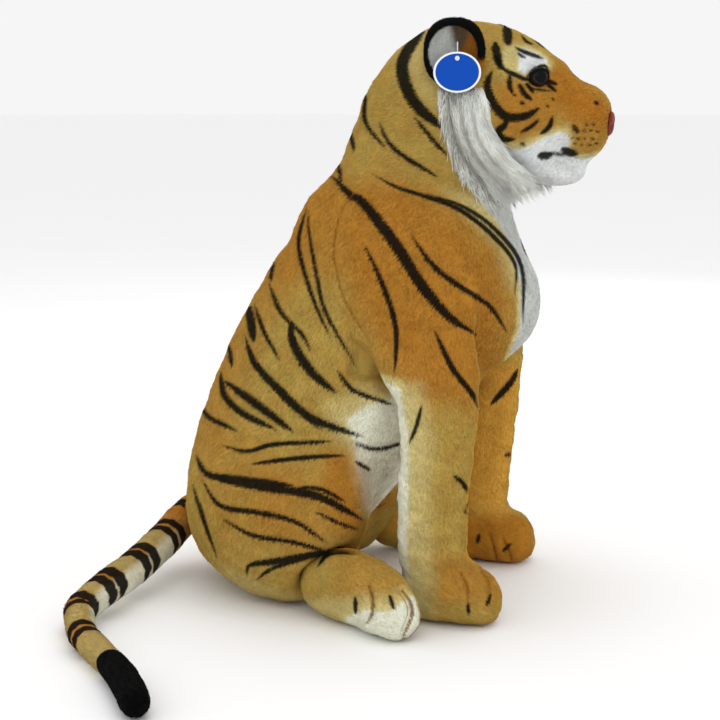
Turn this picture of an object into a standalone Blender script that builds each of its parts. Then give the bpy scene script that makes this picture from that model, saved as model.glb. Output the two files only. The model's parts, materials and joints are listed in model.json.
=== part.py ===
"""A sitting plush tiger, as the sewn, stuffed and moulded pieces that it is made of.

Lengths are in metres and +Z is up. The tiger faces +X and its left side is +Y. The origin is
on the floor, under the middle of the rump.
"""
import math

import bmesh
import bpy
import numpy as np
from mathutils import Matrix, Vector

# Clearances
GAP = 0.0003              # between two pieces that touch
FLOOR_CUT = 0.0005        # how far a stuffed form reaches under the floor before it is cut flat
OVERRUN = 0.02            # how far a cutter runs past what it cuts

# Torso
TORSO_HEIGHT = 0.485
TORSO_DEPTH = 0.40
TORSO_WIDTH = 0.296
BIB_DEPTH = 0.032
BIB_WIDTH = 0.175

# Neck, a cone that nods on the barrel of the shoulders
BARREL_RADIUS = 0.133
NECK_LENGTH = 0.1605      # from the nodding axis up to the flat that the head turns on
NECK_FORWARD = 0.0175     # from the nodding axis forward to the turning axis
NECK_RADIUS = 0.080       # at the top of the cone
NECK_SPREAD = 0.024       # how much wider the cone is where it meets the shoulders
NOD_RANGE = 8.0
TURN_RANGE = 15.0

# Head
HEAD_LENGTH = 0.280
HEAD_HEIGHT = 0.182
HEAD_WIDTH = 0.204
MUZZLE_LENGTH = 0.058
MUZZLE_WIDTH = 0.110
MUZZLE_HEIGHT = 0.092
CHIN_LENGTH = 0.066
CHIN_WIDTH = 0.076
CHIN_HEIGHT = 0.030
NOSE_WIDTH = 0.038
NOSE_HEIGHT = 0.031
NOSE_DEPTH = 0.022
RUFF_LENGTH = 0.118
RUFF_DEPTH = 0.100
RUFF_THICKNESS = 0.060

# Safety eyes
EYE_RADIUS = 0.0105
EYE_DOME = 0.0075
SHANK_RADIUS = 0.0025
SHANK_LENGTH = 0.016
WASHER_RADIUS = 0.0080
WASHER_THICKNESS = 0.0020
WASHER_ROOM = 0.0010      # free space round the washer inside the head

# Ears
EAR_WIDTH = 0.064
EAR_HEIGHT = 0.066
EAR_THICKNESS = 0.012
EAR_RIM = 0.007
EAR_ROOT_RADIUS = 0.0075
LINING_THICKNESS = 0.004
EAR_FOLD_IN = 8.0
EAR_FOLD_OUT = 15.0

# Front legs
SHOULDER_RADIUS = 0.088
SHOULDER_BULGE = 0.052
LEG_DEPTH = 0.070
LEG_WIDTH = 0.070
PAW_LENGTH = 0.112
PAW_WIDTH = 0.080
PAW_HEIGHT = 0.069
LEFT_PAW_SETBACK = 0.003  # how much further back the left paw stands under its leg
LEG_SWING_FORWARD = 15.0
LEG_SWING_BACK = 2.0

# Hind legs
THIGH_LENGTH = 0.233
THIGH_HEIGHT = 0.214
THIGH_WIDTH = 0.160
FOOT_LENGTH = 0.172
FOOT_WIDTH = 0.070
FOOT_HEIGHT = 0.086
ANKLE_RADIUS = 0.040
FOOT_SPLAY = 36.0
FOOT_UP = 4.0
FOOT_DOWN = 18.0

# Tail
TAIL_RADIUS = 0.0215      # at its root
TAIL_SIDE = 0.518         # how far out to the side it reaches
TAIL_ROOM = 0.0009        # round the root, where it swings against the rump
TAIL_SWING_OUT = 30.0
TAIL_SWING_IN = 4.0
TAIL_BEND = 25.0

# Paper tag and its plastic tack
TAG_WIDTH = 0.052
TAG_HEIGHT = 0.044
TAG_THICKNESS = 0.0012
TAG_HOLE_RADIUS = 0.0018
TAG_STAND_OFF = 0.009     # from the ear out to the tag
TAG_SWING = 25.0
TACK_RADIUS = 0.0007
TACK_PADDLE_RADIUS = 0.0026
TACK_PADDLE_THICKNESS = 0.0008
TACK_DROP = 0.016         # from where it leaves the ear down to the tag's hole

# Counts of sides and rings
BODY_SIDES = 24
LIMB_SIDES = 16
TURNED_SIDES = 32
TAIL_SIDES = 12
SMALL_SIDES = 16
THREAD_SIDES = 8
BODY_RINGS = 13
LIMB_RINGS = 9
BALL_RINGS = 8
TAIL_STEPS = 2
DOME_RINGS = 3
THREAD_STEPS = 3

RIGHT = -1
LEFT = 1
SIDE_NAMES = {RIGHT: "right", LEFT: "left"}

# How square a section is, from 1 for an ellipse downwards
TORSO_FULLNESS_SHARE = 0.90
LIMB_FULLNESS_SHARE = 0.85

# Torso: height, back and front as shares of the depth, half width as a share of half the width
TORSO_SHARES = (
    (0.000, -0.110, 0.200, 0.480),
    (0.025, -0.180, 0.220, 0.660),
    (0.085, -0.240, 0.235, 0.860),
    (0.190, -0.283, 0.290, 0.970),
    (0.325, -0.264, 0.440, 1.000),
    (0.450, -0.220, 0.565, 0.975),
    (0.575, -0.158, 0.655, 0.965),
    (0.700, -0.080, 0.710, 0.960),
    (0.800, -0.006, 0.715, 0.930),
    (0.885, 0.060, 0.680, 0.840),
    (0.955, 0.130, 0.610, 0.640),
    (1.000, 0.220, 0.520, 0.360),
)
# Bib: height as a share of the torso's height, front as a share of the bib's depth in front
# of its seat, half width as a share of half the bib's width
BIB_SHARES = (
    (0.555, -0.90, 0.30),
    (0.580, -0.20, 0.66),
    (0.625, 0.45, 0.86),
    (0.690, 0.88, 1.00),
    (0.750, 1.00, 1.00),
    (0.805, 0.80, 0.94),
    (0.850, 0.30, 0.80),
    (0.885, -0.40, 0.60),
    (0.905, -1.20, 0.30),
)
BIB_SEAT_SHARE = 0.712
BIB_BACK_SHARE = 2.4
# The nodding axis in the torso: the chest's front as a share of the depth, back from there as a
# share of the barrel's radius, share of the height
NOD_PLACE_SHARES = (0.715, 0.966, 0.8134)
# Barrel: place across as a share of the shoulder plane, radius share
BARREL_SHARES = (
    (0.00, 1.000),
    (0.35, 0.992),
    (0.60, 0.962),
    (0.80, 0.905),
    (0.92, 0.840),
    (1.00, 0.740),
)
# Neck: place down the cone, share of its spread
NECK_SHARES = ((0.0, 0.0), (0.25, 0.24), (0.55, 0.70), (0.80, 0.95), (1.0, 1.0))
NECK_END_SHARE = 0.53
SHOULDER_PLACE_SHARES = (0.470, 0.7732)
SHOULDER_PLANE_SHARE = 0.757
# Pad of the shoulder: radius share, height share of the bulge
SHOULDER_SHARES = (
    (1.000, 0.00),
    (0.985, 0.25),
    (0.950, 0.45),
    (0.880, 0.65),
    (0.760, 0.80),
    (0.580, 0.91),
    (0.340, 0.98),
    (0.100, 1.00),
)
# Room for the leg beside the belly: back from the shoulder as a share of the leg's depth,
# height as a share of the shoulder's
LEG_ROOM_SHARES = ((-0.80, 0.92), (-0.42, 0.72), (-0.30, 0.52), (-0.36, 0.24))
# Front leg: height as a share of the shoulder's, back and front from the shoulder as shares
# of the leg's depth, inner and outer from the shoulder plane as shares of the leg's width
LEG_SHARES = (
    (0.930, -0.62, 0.98, 0.0, 0.58),
    (0.860, -0.66, 1.16, 0.0, 0.70),
    (0.790, -0.50, 1.24, 0.0, 0.80),
    (0.720, -0.24, 1.25, 0.0, 0.86),
    (0.640, -0.04, 1.22, 0.0, 0.88),
    (0.540, 0.00, 1.18, 0.0, 0.90),
    (0.440, -0.06, 1.11, -0.04, 0.88),
    (0.340, -0.10, 1.05, -0.12, 0.83),
    (0.240, -0.11, 1.03, -0.20, 0.78),
    (0.165, -0.08, 1.02, -0.22, 0.74),
    (0.120, 0.02, 0.92, -0.14, 0.66),
)
# Front paw: length share, half width share, height shares
PAW_SHARES = (
    (0.00, 0.34, 0.22, 0.66),
    (0.06, 0.62, 0.05, 0.88),
    (0.20, 0.86, 0.00, 1.00),
    (0.45, 0.95, 0.00, 1.00),
    (0.68, 1.00, 0.00, 0.98),
    (0.86, 0.88, 0.00, 0.86),
    (0.96, 0.62, 0.06, 0.66),
    (1.00, 0.34, 0.18, 0.50),
)
PAW_PLACE_SHARES = (-0.02, 0.257)
# Thigh: length share, inner and outer as shares of the width, low and high of the height
THIGH_SHARES = (
    (0.000, 0.14, 0.40, 0.40, 0.58),
    (0.050, 0.05, 0.58, 0.27, 0.76),
    (0.170, 0.00, 0.80, 0.14, 0.915),
    (0.350, 0.00, 0.93, 0.04, 0.985),
    (0.550, 0.00, 0.99, 0.00, 1.000),
    (0.730, 0.05, 1.000, 0.03, 0.965),
    (0.870, 0.15, 0.960, 0.19, 0.900),
    (0.960, 0.29, 0.850, 0.38, 0.810),
    (1.000, 0.43, 0.720, 0.52, 0.720),
)
THIGH_PLACE_SHARES = (-0.225, 0.095)
# Hind foot in front of its ankle: length share of what is in front, half width share, low, high
FOOT_SHARES = (
    (0.10, 1.10, 0.0, 0.970),
    (0.30, 1.02, 0.0, 0.990),
    (0.52, 1.00, 0.0, 0.960),
    (0.72, 1.00, 0.0, 0.860),
    (0.88, 0.86, 0.0, 0.700),
    (0.97, 0.60, 0.07, 0.550),
    (1.00, 0.34, 0.16, 0.430),
)
ANKLE_PLACE_SHARES = (0.858, 0.760)
# Head: length share, half width share, low and high as shares of the height
HEAD_SHARES = (
    (0.000, 0.26, 0.32, 0.47),
    (0.045, 0.54, 0.26, 0.60),
    (0.130, 0.77, 0.20, 0.77),
    (0.235, 0.91, 0.16, 0.92),
    (0.355, 0.985, 0.13, 0.995),
    (0.480, 1.000, 0.08, 1.000),
    (0.600, 0.960, 0.035, 0.965),
    (0.705, 0.840, 0.000, 0.895),
    (0.790, 0.650, 0.03, 0.795),
    (0.880, 0.420, 0.16, 0.665),
    (0.955, 0.270, 0.27, 0.590),
    (1.000, 0.160, 0.33, 0.520),
)
TURN_PLACE_SHARES = (0.250, 0.346)
# Muzzle, chin and nose: length share, half width share, low and high as shares of the height
MUZZLE_SHARES = (
    (0.00, 0.66, 0.10, 0.90),
    (0.18, 0.92, 0.03, 0.98),
    (0.42, 1.00, 0.00, 1.00),
    (0.68, 0.94, 0.06, 0.96),
    (0.88, 0.72, 0.20, 0.86),
    (0.98, 0.42, 0.38, 0.76),
    (1.00, 0.22, 0.46, 0.68),
)
# Back from the head's front as a share of the muzzle's length, up the head
MUZZLE_PLACE_SHARES = (0.831, 0.115)
CHIN_SHARES = (
    (0.00, 0.50, 0.20, 0.95),
    (0.15, 0.80, 0.04, 1.00),
    (0.45, 1.00, 0.00, 1.00),
    (0.75, 0.88, 0.06, 1.00),
    (0.93, 0.58, 0.25, 0.96),
    (1.00, 0.30, 0.45, 0.84),
)
# Back from the head's front as a share of the chin's length, up the head
CHIN_PLACE_SHARES = (1.260, -0.030)
NOSE_SHARES = (
    (0.00, 0.60, 0.10, 1.00),
    (0.45, 0.92, 0.02, 1.00),
    (0.75, 1.00, 0.05, 1.00),
    (0.93, 0.84, 0.20, 0.95),
    (1.00, 0.50, 0.42, 0.84),
)
# Back from the muzzle's front as a share of the nose's depth, up the head
NOSE_PLACE_SHARES = (0.80, 0.275)
# Ruff, downwards: length share, back and front as shares of the depth, inner and outer of
# the thickness
RUFF_SHARES = (
    (0.00, 0.10, 0.46, 0.30, 0.72),
    (0.10, 0.00, 0.54, 0.10, 0.94),
    (0.30, -0.02, 0.58, 0.00, 1.00),
    (0.50, 0.06, 0.66, -0.10, 0.92),
    (0.70, 0.24, 0.84, -0.25, 0.74),
    (0.87, 0.46, 0.98, -0.35, 0.50),
    (0.96, 0.66, 1.00, -0.30, 0.26),
    (1.00, 0.78, 0.96, -0.15, 0.08),
)
RUFF_PLACE_SHARES = (0.412, 0.490, 0.605)
# Eye: along the head and up it, how far it looks aside and up, and how finely its seat is sought
EYE_PLACE_SHARES = (0.775, 0.648)
EYE_SPLAY_SHARE = 0.62
EYE_RISE_SHARE = 0.10
EYE_STEP_SHARE = 0.05
EYE_DOME_SHARES = (0.25, 0.5, 0.7, 0.85, 0.95, 0.995)
WASHER_PLACE_SHARE = 0.72
# Ear: along the head, across and up it, and its turn and lean as shares of a right angle
EAR_PLACE_SHARES = (0.455, 1.030, 0.632)
EAR_TURN_SHARE = 0.12
EAR_LEAN_SHARE = 0.12
EAR_ROOT_REACH_SHARE = 0.70
EAR_ROOT_SHARES = ((-1.0, 0.50), (-0.6, 0.84), (0.0, 1.0), (0.6, 0.84), (1.0, 0.50))
EAR_OUTLINE_SHARES = (
    (0.00, 0.80),
    (0.15, 0.92),
    (0.38, 1.00),
    (0.60, 0.95),
    (0.78, 0.80),
    (0.90, 0.58),
    (0.97, 0.34),
    (1.00, 0.14),
)
# Tail's root in the torso: along its depth, across its width and up its height
TAIL_PLACE_SHARES = (-0.306, 0.041, 0.1443)
# Tail from its root: forward and out to the side as shares of its reach, rise as a share of
# the root's, thickness
TAIL_SHARES = (
    (0.000, 0.000, 1.000, 1.000),
    (-0.017, 0.039, 0.786, 1.000),
    (-0.023, 0.100, 0.582, 0.995),
    (-0.028, 0.216, 0.412, 0.990),
    (-0.035, 0.313, 0.286, 0.975),
    (-0.044, 0.417, 0.229, 0.945),
    (-0.055, 0.492, 0.127, 0.900),
    (-0.057, 0.550, 0.045, 0.850),
    (0.010, 0.674, 0.000, 0.790),
    (0.089, 0.766, 0.000, 0.750),
    (0.136, 0.819, 0.000, 0.745),
    (0.198, 0.902, 0.000, 0.775),
    (0.259, 1.000, 0.000, 0.765),
)
TAIL_CUTS = (0, 4, 8, 10, 12)
DOME_END_SHARE = 0.12
TAG_PLACE_SHARES = (0.10, 0.40)
TAG_HOLE_SHARE = 0.34
# The tack's thread from the ear down to the tag's hole: stand-off share, drop share
TACK_SHARES = ((0.45, 0.80), (0.45, 0.30), (0.30, 0.00))
TACK_START_SHARE = 0.75

# Colours, linear
TAN = (0.480, 0.240, 0.065)
ORANGE = (0.420, 0.170, 0.030)
WHITE = (0.760, 0.750, 0.690)
BLACK = (0.012, 0.012, 0.013)
GREY = (0.520, 0.510, 0.470)
NOSE_RED = (0.190, 0.030, 0.026)
CARD_BLUE = (0.012, 0.120, 0.620)
CLEAR_PLASTIC = (0.700, 0.700, 0.680)
CREASE_ANGLE = 40.0       # faces that meet at more than this many degrees keep a sharp edge


def material(name, colour, roughness, metallic=0.0):
    """One Principled BSDF for one piece."""
    made = bpy.data.materials.new(name)
    made.use_nodes = True
    shader = made.node_tree.nodes["Principled BSDF"]
    shader.inputs["Base Color"].default_value = (*colour, 1.0)
    shader.inputs["Roughness"].default_value = roughness
    shader.inputs["Metallic"].default_value = metallic
    made.diffuse_color = (*colour, 1.0)
    return made


def new_object(name, shape):
    """An object from vertices and faces, with its faces pointing out and its curves smooth."""
    vertices, faces = shape
    mesh = bpy.data.meshes.new(name)
    mesh.from_pydata([tuple(vertex) for vertex in vertices], [], faces)
    work = bmesh.new()
    work.from_mesh(mesh)
    bmesh.ops.recalc_face_normals(work, faces=work.faces)
    work.to_mesh(mesh)
    work.free()
    mesh.shade_smooth()
    mesh.set_sharp_from_angle(angle=math.radians(CREASE_ANGLE))
    made = bpy.data.objects.new(name, mesh)
    bpy.context.scene.collection.objects.link(made)
    return made


def piece(name, shape, colour, roughness=0.9):
    """A piece of the tiger, with a material of its own."""
    made = new_object(name, shape)
    made.data.materials.append(material(name + "_finish", colour, roughness))
    return made


def cutter(name, shape):
    """A guide for a Boolean, which is no part of the tiger."""
    made = new_object(name, shape)
    made.hide_render = True
    made.display_type = "WIRE"
    return made


def combine(target, tool, operation):
    """Cut the tool from the target, or join it on."""
    step = target.modifiers.new(tool.name, "BOOLEAN")
    step.operation = operation
    step.solver = "EXACT"
    step.object = tool


def cut(target, *tools):
    """Take each tool away from the target."""
    for tool in tools:
        combine(target, tool, "DIFFERENCE")


def moved(shape, matrix):
    """The same shape, placed by a matrix."""
    vertices, faces = shape
    return [matrix @ Vector(vertex) for vertex in vertices], faces


def eased(rows, count):
    """More rows than were given, on a smooth curve through the given ones."""
    rows = np.asarray(rows, dtype=float)
    padded = np.vstack([2 * rows[0] - rows[1], rows, 2 * rows[-1] - rows[-2]])
    at = np.linspace(0.0, len(rows) - 1.0, count)
    start = np.minimum(at.astype(int), len(rows) - 2)
    t = (at - start)[:, None]
    before, here, there, after = (padded[start + step] for step in range(4))
    slope_here = 0.5 * (there - before)
    slope_there = 0.5 * (after - here)
    return (here * (1 + 2 * t) * (1 - t) ** 2 + slope_here * t * (1 - t) ** 2
            + there * t ** 2 * (3 - 2 * t) + slope_there * t ** 2 * (t - 1))


def stacked(rings):
    """Faces between rings of equally many points, with a flat cap at each end.

    Every patch is split along the same diagonal, so that a grown copy is parallel all over.
    """
    rings = [list(map(tuple, ring)) for ring in rings]
    sides = len(rings[0])
    vertices = [point for ring in rings for point in ring]
    faces = []
    for level in range(len(rings) - 1):
        low = level * sides
        high = low + sides
        for side in range(sides):
            following = (side + 1) % sides
            faces.append((low + side, low + following, high + following))
            faces.append((low + side, high + following, high + side))
    faces.append(tuple(range(sides - 1, -1, -1)))
    faces.append(tuple(range(len(vertices) - sides, len(vertices))))
    return vertices, faces


def loft(axis, rows, sides, grow=0.0, fullness=1.0):
    """Sections along an axis, each row a place and the low and high edges of the two others.

    A section is a superellipse in its box: cosine and sine raised to the fullness, so that 1
    is an ellipse and less is squarer. Growing moves every edge out.
    """
    rows = np.array(rows, dtype=float)
    rows[0, 0] -= grow
    rows[-1, 0] += grow
    rows[:, (1, 3)] -= grow
    rows[:, (2, 4)] += grow
    angle = np.arange(sides) * (2 * math.pi / sides)
    across = np.sign(np.cos(angle)) * np.abs(np.cos(angle)) ** fullness
    upward = np.sign(np.sin(angle)) * np.abs(np.sin(angle)) ** fullness
    order = [("XYZ".index(axis) + step) % 3 for step in range(3)]
    rings = []
    for place, low_u, high_u, low_v, high_v in rows:
        ring = np.zeros((sides, 3))
        ring[:, order[0]] = place
        ring[:, order[1]] = 0.5 * (low_u + high_u) + 0.5 * (high_u - low_u) * across
        ring[:, order[2]] = 0.5 * (low_v + high_v) + 0.5 * (high_v - low_v) * upward
        rings.append(ring)
    return stacked(rings)


def turned(axis, centre, profile, sides, grow=0.0):
    """A form turned about an axis, each row a place along it and a radius.

    A grown one clears the flats of the form that turns inside it.
    """
    order = [("XYZ".index(axis) + step) % 3 for step in range(3)]
    angle = np.arange(sides) * (2 * math.pi / sides)
    rings = []
    for place, radius in profile:
        if grow:
            radius = (radius + grow) / math.cos(math.pi / sides)
        ring = np.zeros((sides, 3))
        ring[:, order[0]] = centre[order[0]] + place
        ring[:, order[1]] = centre[order[1]] + radius * np.cos(angle)
        ring[:, order[2]] = centre[order[2]] + radius * np.sin(angle)
        rings.append(ring)
    return stacked(rings)


def ball_profile(radius, rings, grow=0.0):
    """Places and radii of a ball, turned about its own middle."""
    if grow:
        radius = (radius + grow) / math.cos(0.5 * math.pi / rings)
    angle = np.linspace(0.0, math.pi, rings + 1)
    angle[0] = angle[1] / 3
    angle[-1] = math.pi - angle[0]
    return [(-radius * math.cos(turn), radius * math.sin(turn)) for turn in angle]


def ball(axis, centre, radius, sides, rings, grow=0.0):
    """A ball, its poles on the given axis."""
    return turned(axis, centre, ball_profile(radius, rings, grow), sides, grow)


def directions(points):
    """Unit steps along a route, one at each point."""
    along = np.gradient(np.asarray(points, dtype=float), axis=0)
    return along / np.linalg.norm(along, axis=1)[:, None]


def tube(points, along, radii, sides, reference=(0.0, 0.0, 1.0)):
    """Rings square to a route, each with one radius of its own towards the reference."""
    angle = np.arange(sides) * (2 * math.pi / sides)
    rings = []
    for point, direction, radius in zip(points, along, radii):
        aside = np.cross(reference, direction)
        aside /= np.linalg.norm(aside)
        above = np.cross(direction, aside)
        ring = point + radius * (np.outer(np.cos(angle), aside) + np.outer(np.sin(angle), above))
        rings.append(ring)
    return stacked(rings)


def box(low, high):
    """A plain box between two corners."""
    corners = [(low[0], low[1]), (high[0], low[1]), (high[0], high[1]), (low[0], high[1])]
    return stacked([[(x, y, z) for x, y in corners] for z in (low[2], high[2])])


def axis_empty(name, place, parent=None):
    """An empty on a joint's axis, which the moving pieces hang on."""
    made = bpy.data.objects.new(name, None)
    bpy.context.scene.collection.objects.link(made)
    made.location = place
    bpy.context.view_layer.update()
    if parent is not None:
        made.parent = parent
        made.matrix_parent_inverse = parent.matrix_world.inverted()
    bpy.context.view_layer.update()
    return made


def hang(empty, *pieces):
    """Parent pieces to an empty and leave them where they are."""
    for item in pieces:
        item.parent = empty
        item.matrix_parent_inverse = empty.matrix_world.inverted()


def floor_cutter():
    """Everything under the floor, wide enough for the whole tiger."""
    reach = TORSO_DEPTH + TAIL_SIDE + THIGH_LENGTH
    return cutter("floor_cutter", box((-reach, -reach, -OVERRUN), (reach, reach, 0.0)))


# Places that several pieces share
NOD_AXIS = Vector((NOD_PLACE_SHARES[0] * TORSO_DEPTH - NOD_PLACE_SHARES[1] * BARREL_RADIUS, 0.0,
                   NOD_PLACE_SHARES[2] * TORSO_HEIGHT))
TURN_AXIS = NOD_AXIS + Vector((NECK_FORWARD, 0.0, NECK_LENGTH))
HEAD_BACK = TURN_AXIS.x - TURN_PLACE_SHARES[0] * HEAD_LENGTH
HEAD_BASE = TURN_AXIS.z - TURN_PLACE_SHARES[1] * HEAD_HEIGHT
HEAD_FRONT = HEAD_BACK + HEAD_LENGTH
MUZZLE_FRONT = HEAD_FRONT + (1.0 - MUZZLE_PLACE_SHARES[0]) * MUZZLE_LENGTH
SHOULDER_PLANE = SHOULDER_PLANE_SHARE * 0.5 * TORSO_WIDTH
SHOULDER_X = SHOULDER_PLACE_SHARES[0] * TORSO_DEPTH
SHOULDER_Z = SHOULDER_PLACE_SHARES[1] * TORSO_HEIGHT
THIGH_BACK = THIGH_PLACE_SHARES[0] * TORSO_DEPTH
THIGH_INNER = THIGH_PLACE_SHARES[1] * TORSO_WIDTH
ANKLE_X = THIGH_BACK + ANKLE_PLACE_SHARES[0] * THIGH_LENGTH
ANKLE_Y = THIGH_INNER + ANKLE_PLACE_SHARES[1] * THIGH_WIDTH
TAIL_ROOT = Vector((TAIL_PLACE_SHARES[0] * TORSO_DEPTH, TAIL_PLACE_SHARES[1] * TORSO_WIDTH,
                    TAIL_PLACE_SHARES[2] * TORSO_HEIGHT))


def torso_shape(grow=0.0):
    """The body's own loft, without the barrel of the shoulders."""
    rows = [(height * (TORSO_HEIGHT + FLOOR_CUT) - FLOOR_CUT, back * TORSO_DEPTH, front * TORSO_DEPTH,
             -half * 0.5 * TORSO_WIDTH, half * 0.5 * TORSO_WIDTH)
            for height, back, front, half in eased(TORSO_SHARES, BODY_RINGS)]
    return loft("Z", rows, BODY_SIDES, grow, TORSO_FULLNESS_SHARE)


def barrel_shape(grow=0.0):
    """The barrel of the shoulders, turned about the nodding axis."""
    half = [(place * SHOULDER_PLANE, radius * BARREL_RADIUS) for place, radius in BARREL_SHARES]
    profile = [(-place, radius) for place, radius in reversed(half)] + half[1:]
    if grow:
        (end_place, end_radius) = profile[-1]
        profile = [(-end_place - OVERRUN, end_radius)] + profile + [(end_place + OVERRUN, end_radius)]
    return turned("Y", NOD_AXIS, profile, TURNED_SIDES, grow)


def shoulder_centre(side):
    """The shoulder's hinge point, on the plane that the pad turns against."""
    return Vector((SHOULDER_X, side * SHOULDER_PLANE, SHOULDER_Z))


def pad_shape(side, grow=0.0):
    """The round pad of a shoulder, turned about the shoulder's hinge."""
    start = 0.0 if grow else GAP
    profile = [(side * (start + height * (SHOULDER_BULGE - start)), radius * SHOULDER_RADIUS)
               for radius, height in SHOULDER_SHARES]
    return turned("Y", shoulder_centre(side), profile, TURNED_SIDES, grow)


def recess_shape(side):
    """The round recess in the torso's side that the shoulder pad turns in."""
    reach = SHOULDER_BULGE + TORSO_WIDTH
    profile = [(0.0, SHOULDER_RADIUS), (side * reach, SHOULDER_RADIUS)]
    return turned("Y", shoulder_centre(side), profile, TURNED_SIDES, GAP)


def leg_room_shape(side):
    """Room beside the belly for the leg to swing in."""
    back = [(SHOULDER_X + forward * LEG_DEPTH, height * SHOULDER_Z) for forward, height in LEG_ROOM_SHARES]
    front = SHOULDER_X + TORSO_DEPTH
    outline = back + [(front, back[-1][1]), (front, back[0][1])]
    reach = SHOULDER_PLANE + TORSO_WIDTH
    return stacked([[(x, side * y, z) for x, z in outline] for y in (SHOULDER_PLANE, reach)])


def tail_route():
    """The tail's centre line from its root to its tip, its thickness, and where its lengths meet."""
    rows = []
    for forward, outward, rise, thickness in TAIL_SHARES:
        radius = thickness * TAIL_RADIUS
        height = radius - FLOOR_CUT + rise * (TAIL_ROOT.z - TAIL_RADIUS + FLOOR_CUT)
        rows.append((TAIL_ROOT.x + forward * TAIL_SIDE, TAIL_ROOT.y - outward * TAIL_SIDE, height, radius))
    smooth = eased(rows, (len(rows) - 1) * TAIL_STEPS + 1)
    return smooth[:, :3], smooth[:, 3], [place * TAIL_STEPS for place in TAIL_CUTS]


def tail_room_shape():
    """The start of the tail with a clearance, swung in against the rump."""
    route, radii, cuts = tail_route()
    count = cuts[1] // 2 + 1
    turn = np.array(Matrix.Rotation(math.radians(TAIL_SWING_IN), 3, "Z"))
    swung = route[0] + (route[:count] - route[0]) @ turn.T
    return tube(swung, directions(swung), radii[:count] + TAIL_ROOM, TAIL_SIDES)


def make_torso(floor):
    """Rump, belly, back and shoulders in one stuffed form, with its recesses."""
    body = piece("torso", torso_shape(), TAN)
    combine(body, cutter("shoulder_barrel", barrel_shape()), "UNION")
    cut(body, floor)
    for side in (RIGHT, LEFT):
        cut(body, cutter(SIDE_NAMES[side] + "_shoulder_recess", recess_shape(side)))
        cut(body, cutter(SIDE_NAMES[side] + "_leg_room", leg_room_shape(side)))
    socket = ball("Y", TAIL_ROOT, TAIL_RADIUS, TURNED_SIDES, BALL_RINGS, 2 * GAP)
    cut(body, cutter("tail_socket", socket))
    cut(body, cutter("tail_room", tail_room_shape()))
    return body


def make_bib():
    """The full white chest panel, in front of the torso."""
    seat = BIB_SEAT_SHARE * TORSO_DEPTH
    back = seat - BIB_BACK_SHARE * BIB_DEPTH
    reach = 0.5 * BIB_WIDTH
    rows = [(height * TORSO_HEIGHT, back, seat + front * BIB_DEPTH, -half * reach, half * reach)
            for height, front, half in eased(BIB_SHARES, LIMB_RINGS)]
    bib = piece("chest_bib", loft("Z", rows, LIMB_SIDES), WHITE)
    cut(bib, cutter("torso_room", torso_shape(2 * GAP)), cutter("barrel_room", barrel_shape(GAP)))
    return bib


def neck_profile():
    """Places below the neck's flat top and radii of its cone."""
    depth = NECK_LENGTH - NECK_END_SHARE * BARREL_RADIUS
    return [(-place * depth, NECK_RADIUS + share * NECK_SPREAD) for place, share in reversed(NECK_SHARES)]


def make_neck():
    """The neck, hollowed below to sit on the barrel and flat above for the head to turn on."""
    neck = piece("neck", turned("Z", TURN_AXIS, neck_profile(), TURNED_SIDES), TAN)
    cut(neck, cutter("neck_barrel_room", barrel_shape(GAP)))
    return neck


def neck_room():
    """What the head leaves free for the neck."""
    profile = neck_profile()
    profile.append((GAP, profile[-1][1]))
    return cutter("neck_room", turned("Z", TURN_AXIS, profile, TURNED_SIDES, GAP))


def head_rows(shares, start, rise, length, width, height, count):
    """Rows along the head for a form with a length, a width and a height of its own.

    The form starts at a place along the head and rises a share of the head's height above it.
    """
    base = HEAD_BASE + rise * HEAD_HEIGHT
    return [(start + place * length, -half * 0.5 * width, half * 0.5 * width,
             base + low * height, base + high * height)
            for place, half, low, high in eased(shares, count)]


def head_shape(grow=0.0):
    """Skull, brow and nose bridge."""
    rows = head_rows(HEAD_SHARES, HEAD_BACK, 0.0, HEAD_LENGTH, HEAD_WIDTH, HEAD_HEIGHT, BODY_RINGS)
    return loft("X", rows, BODY_SIDES, grow)


def muzzle_shape(grow=0.0):
    """Both upper lips."""
    rows = head_rows(MUZZLE_SHARES, MUZZLE_FRONT - MUZZLE_LENGTH, MUZZLE_PLACE_SHARES[1], MUZZLE_LENGTH,
                     MUZZLE_WIDTH, MUZZLE_HEIGHT, LIMB_RINGS)
    return loft("X", rows, LIMB_SIDES, grow)


def ear_frame(side, fold=0.0):
    """Where an ear's root lies: X along the root, Y out of the ear, Z up the ear.

    Folding is in degrees about the root, positive towards the head.
    """
    x = HEAD_BACK + EAR_PLACE_SHARES[0] * HEAD_LENGTH
    y = side * EAR_PLACE_SHARES[1] * 0.5 * HEAD_WIDTH
    z = HEAD_BASE + EAR_PLACE_SHARES[2] * HEAD_HEIGHT
    turn = -side * EAR_TURN_SHARE * 0.5 * math.pi
    lean = -side * EAR_LEAN_SHARE * 0.5 * math.pi + side * math.radians(fold)
    return Matrix.Translation((x, y, z)) @ Matrix.Rotation(turn, 4, "Z") @ Matrix.Rotation(lean, 4, "X")


def ear_root_shape(side, grow=0.0):
    """The stuffed root of an ear, a spindle about its folding axis."""
    reach = 0.5 * EAR_WIDTH * EAR_ROOT_REACH_SHARE
    profile = [(place * reach, radius * EAR_ROOT_RADIUS) for place, radius in EAR_ROOT_SHARES]
    if grow:
        profile[0] = (profile[0][0] - grow, profile[0][1])
        profile[-1] = (profile[-1][0] + grow, profile[-1][1])
    return moved(turned("X", (0.0, 0.0, 0.0), profile, SMALL_SIDES, grow), ear_frame(side))


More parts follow.
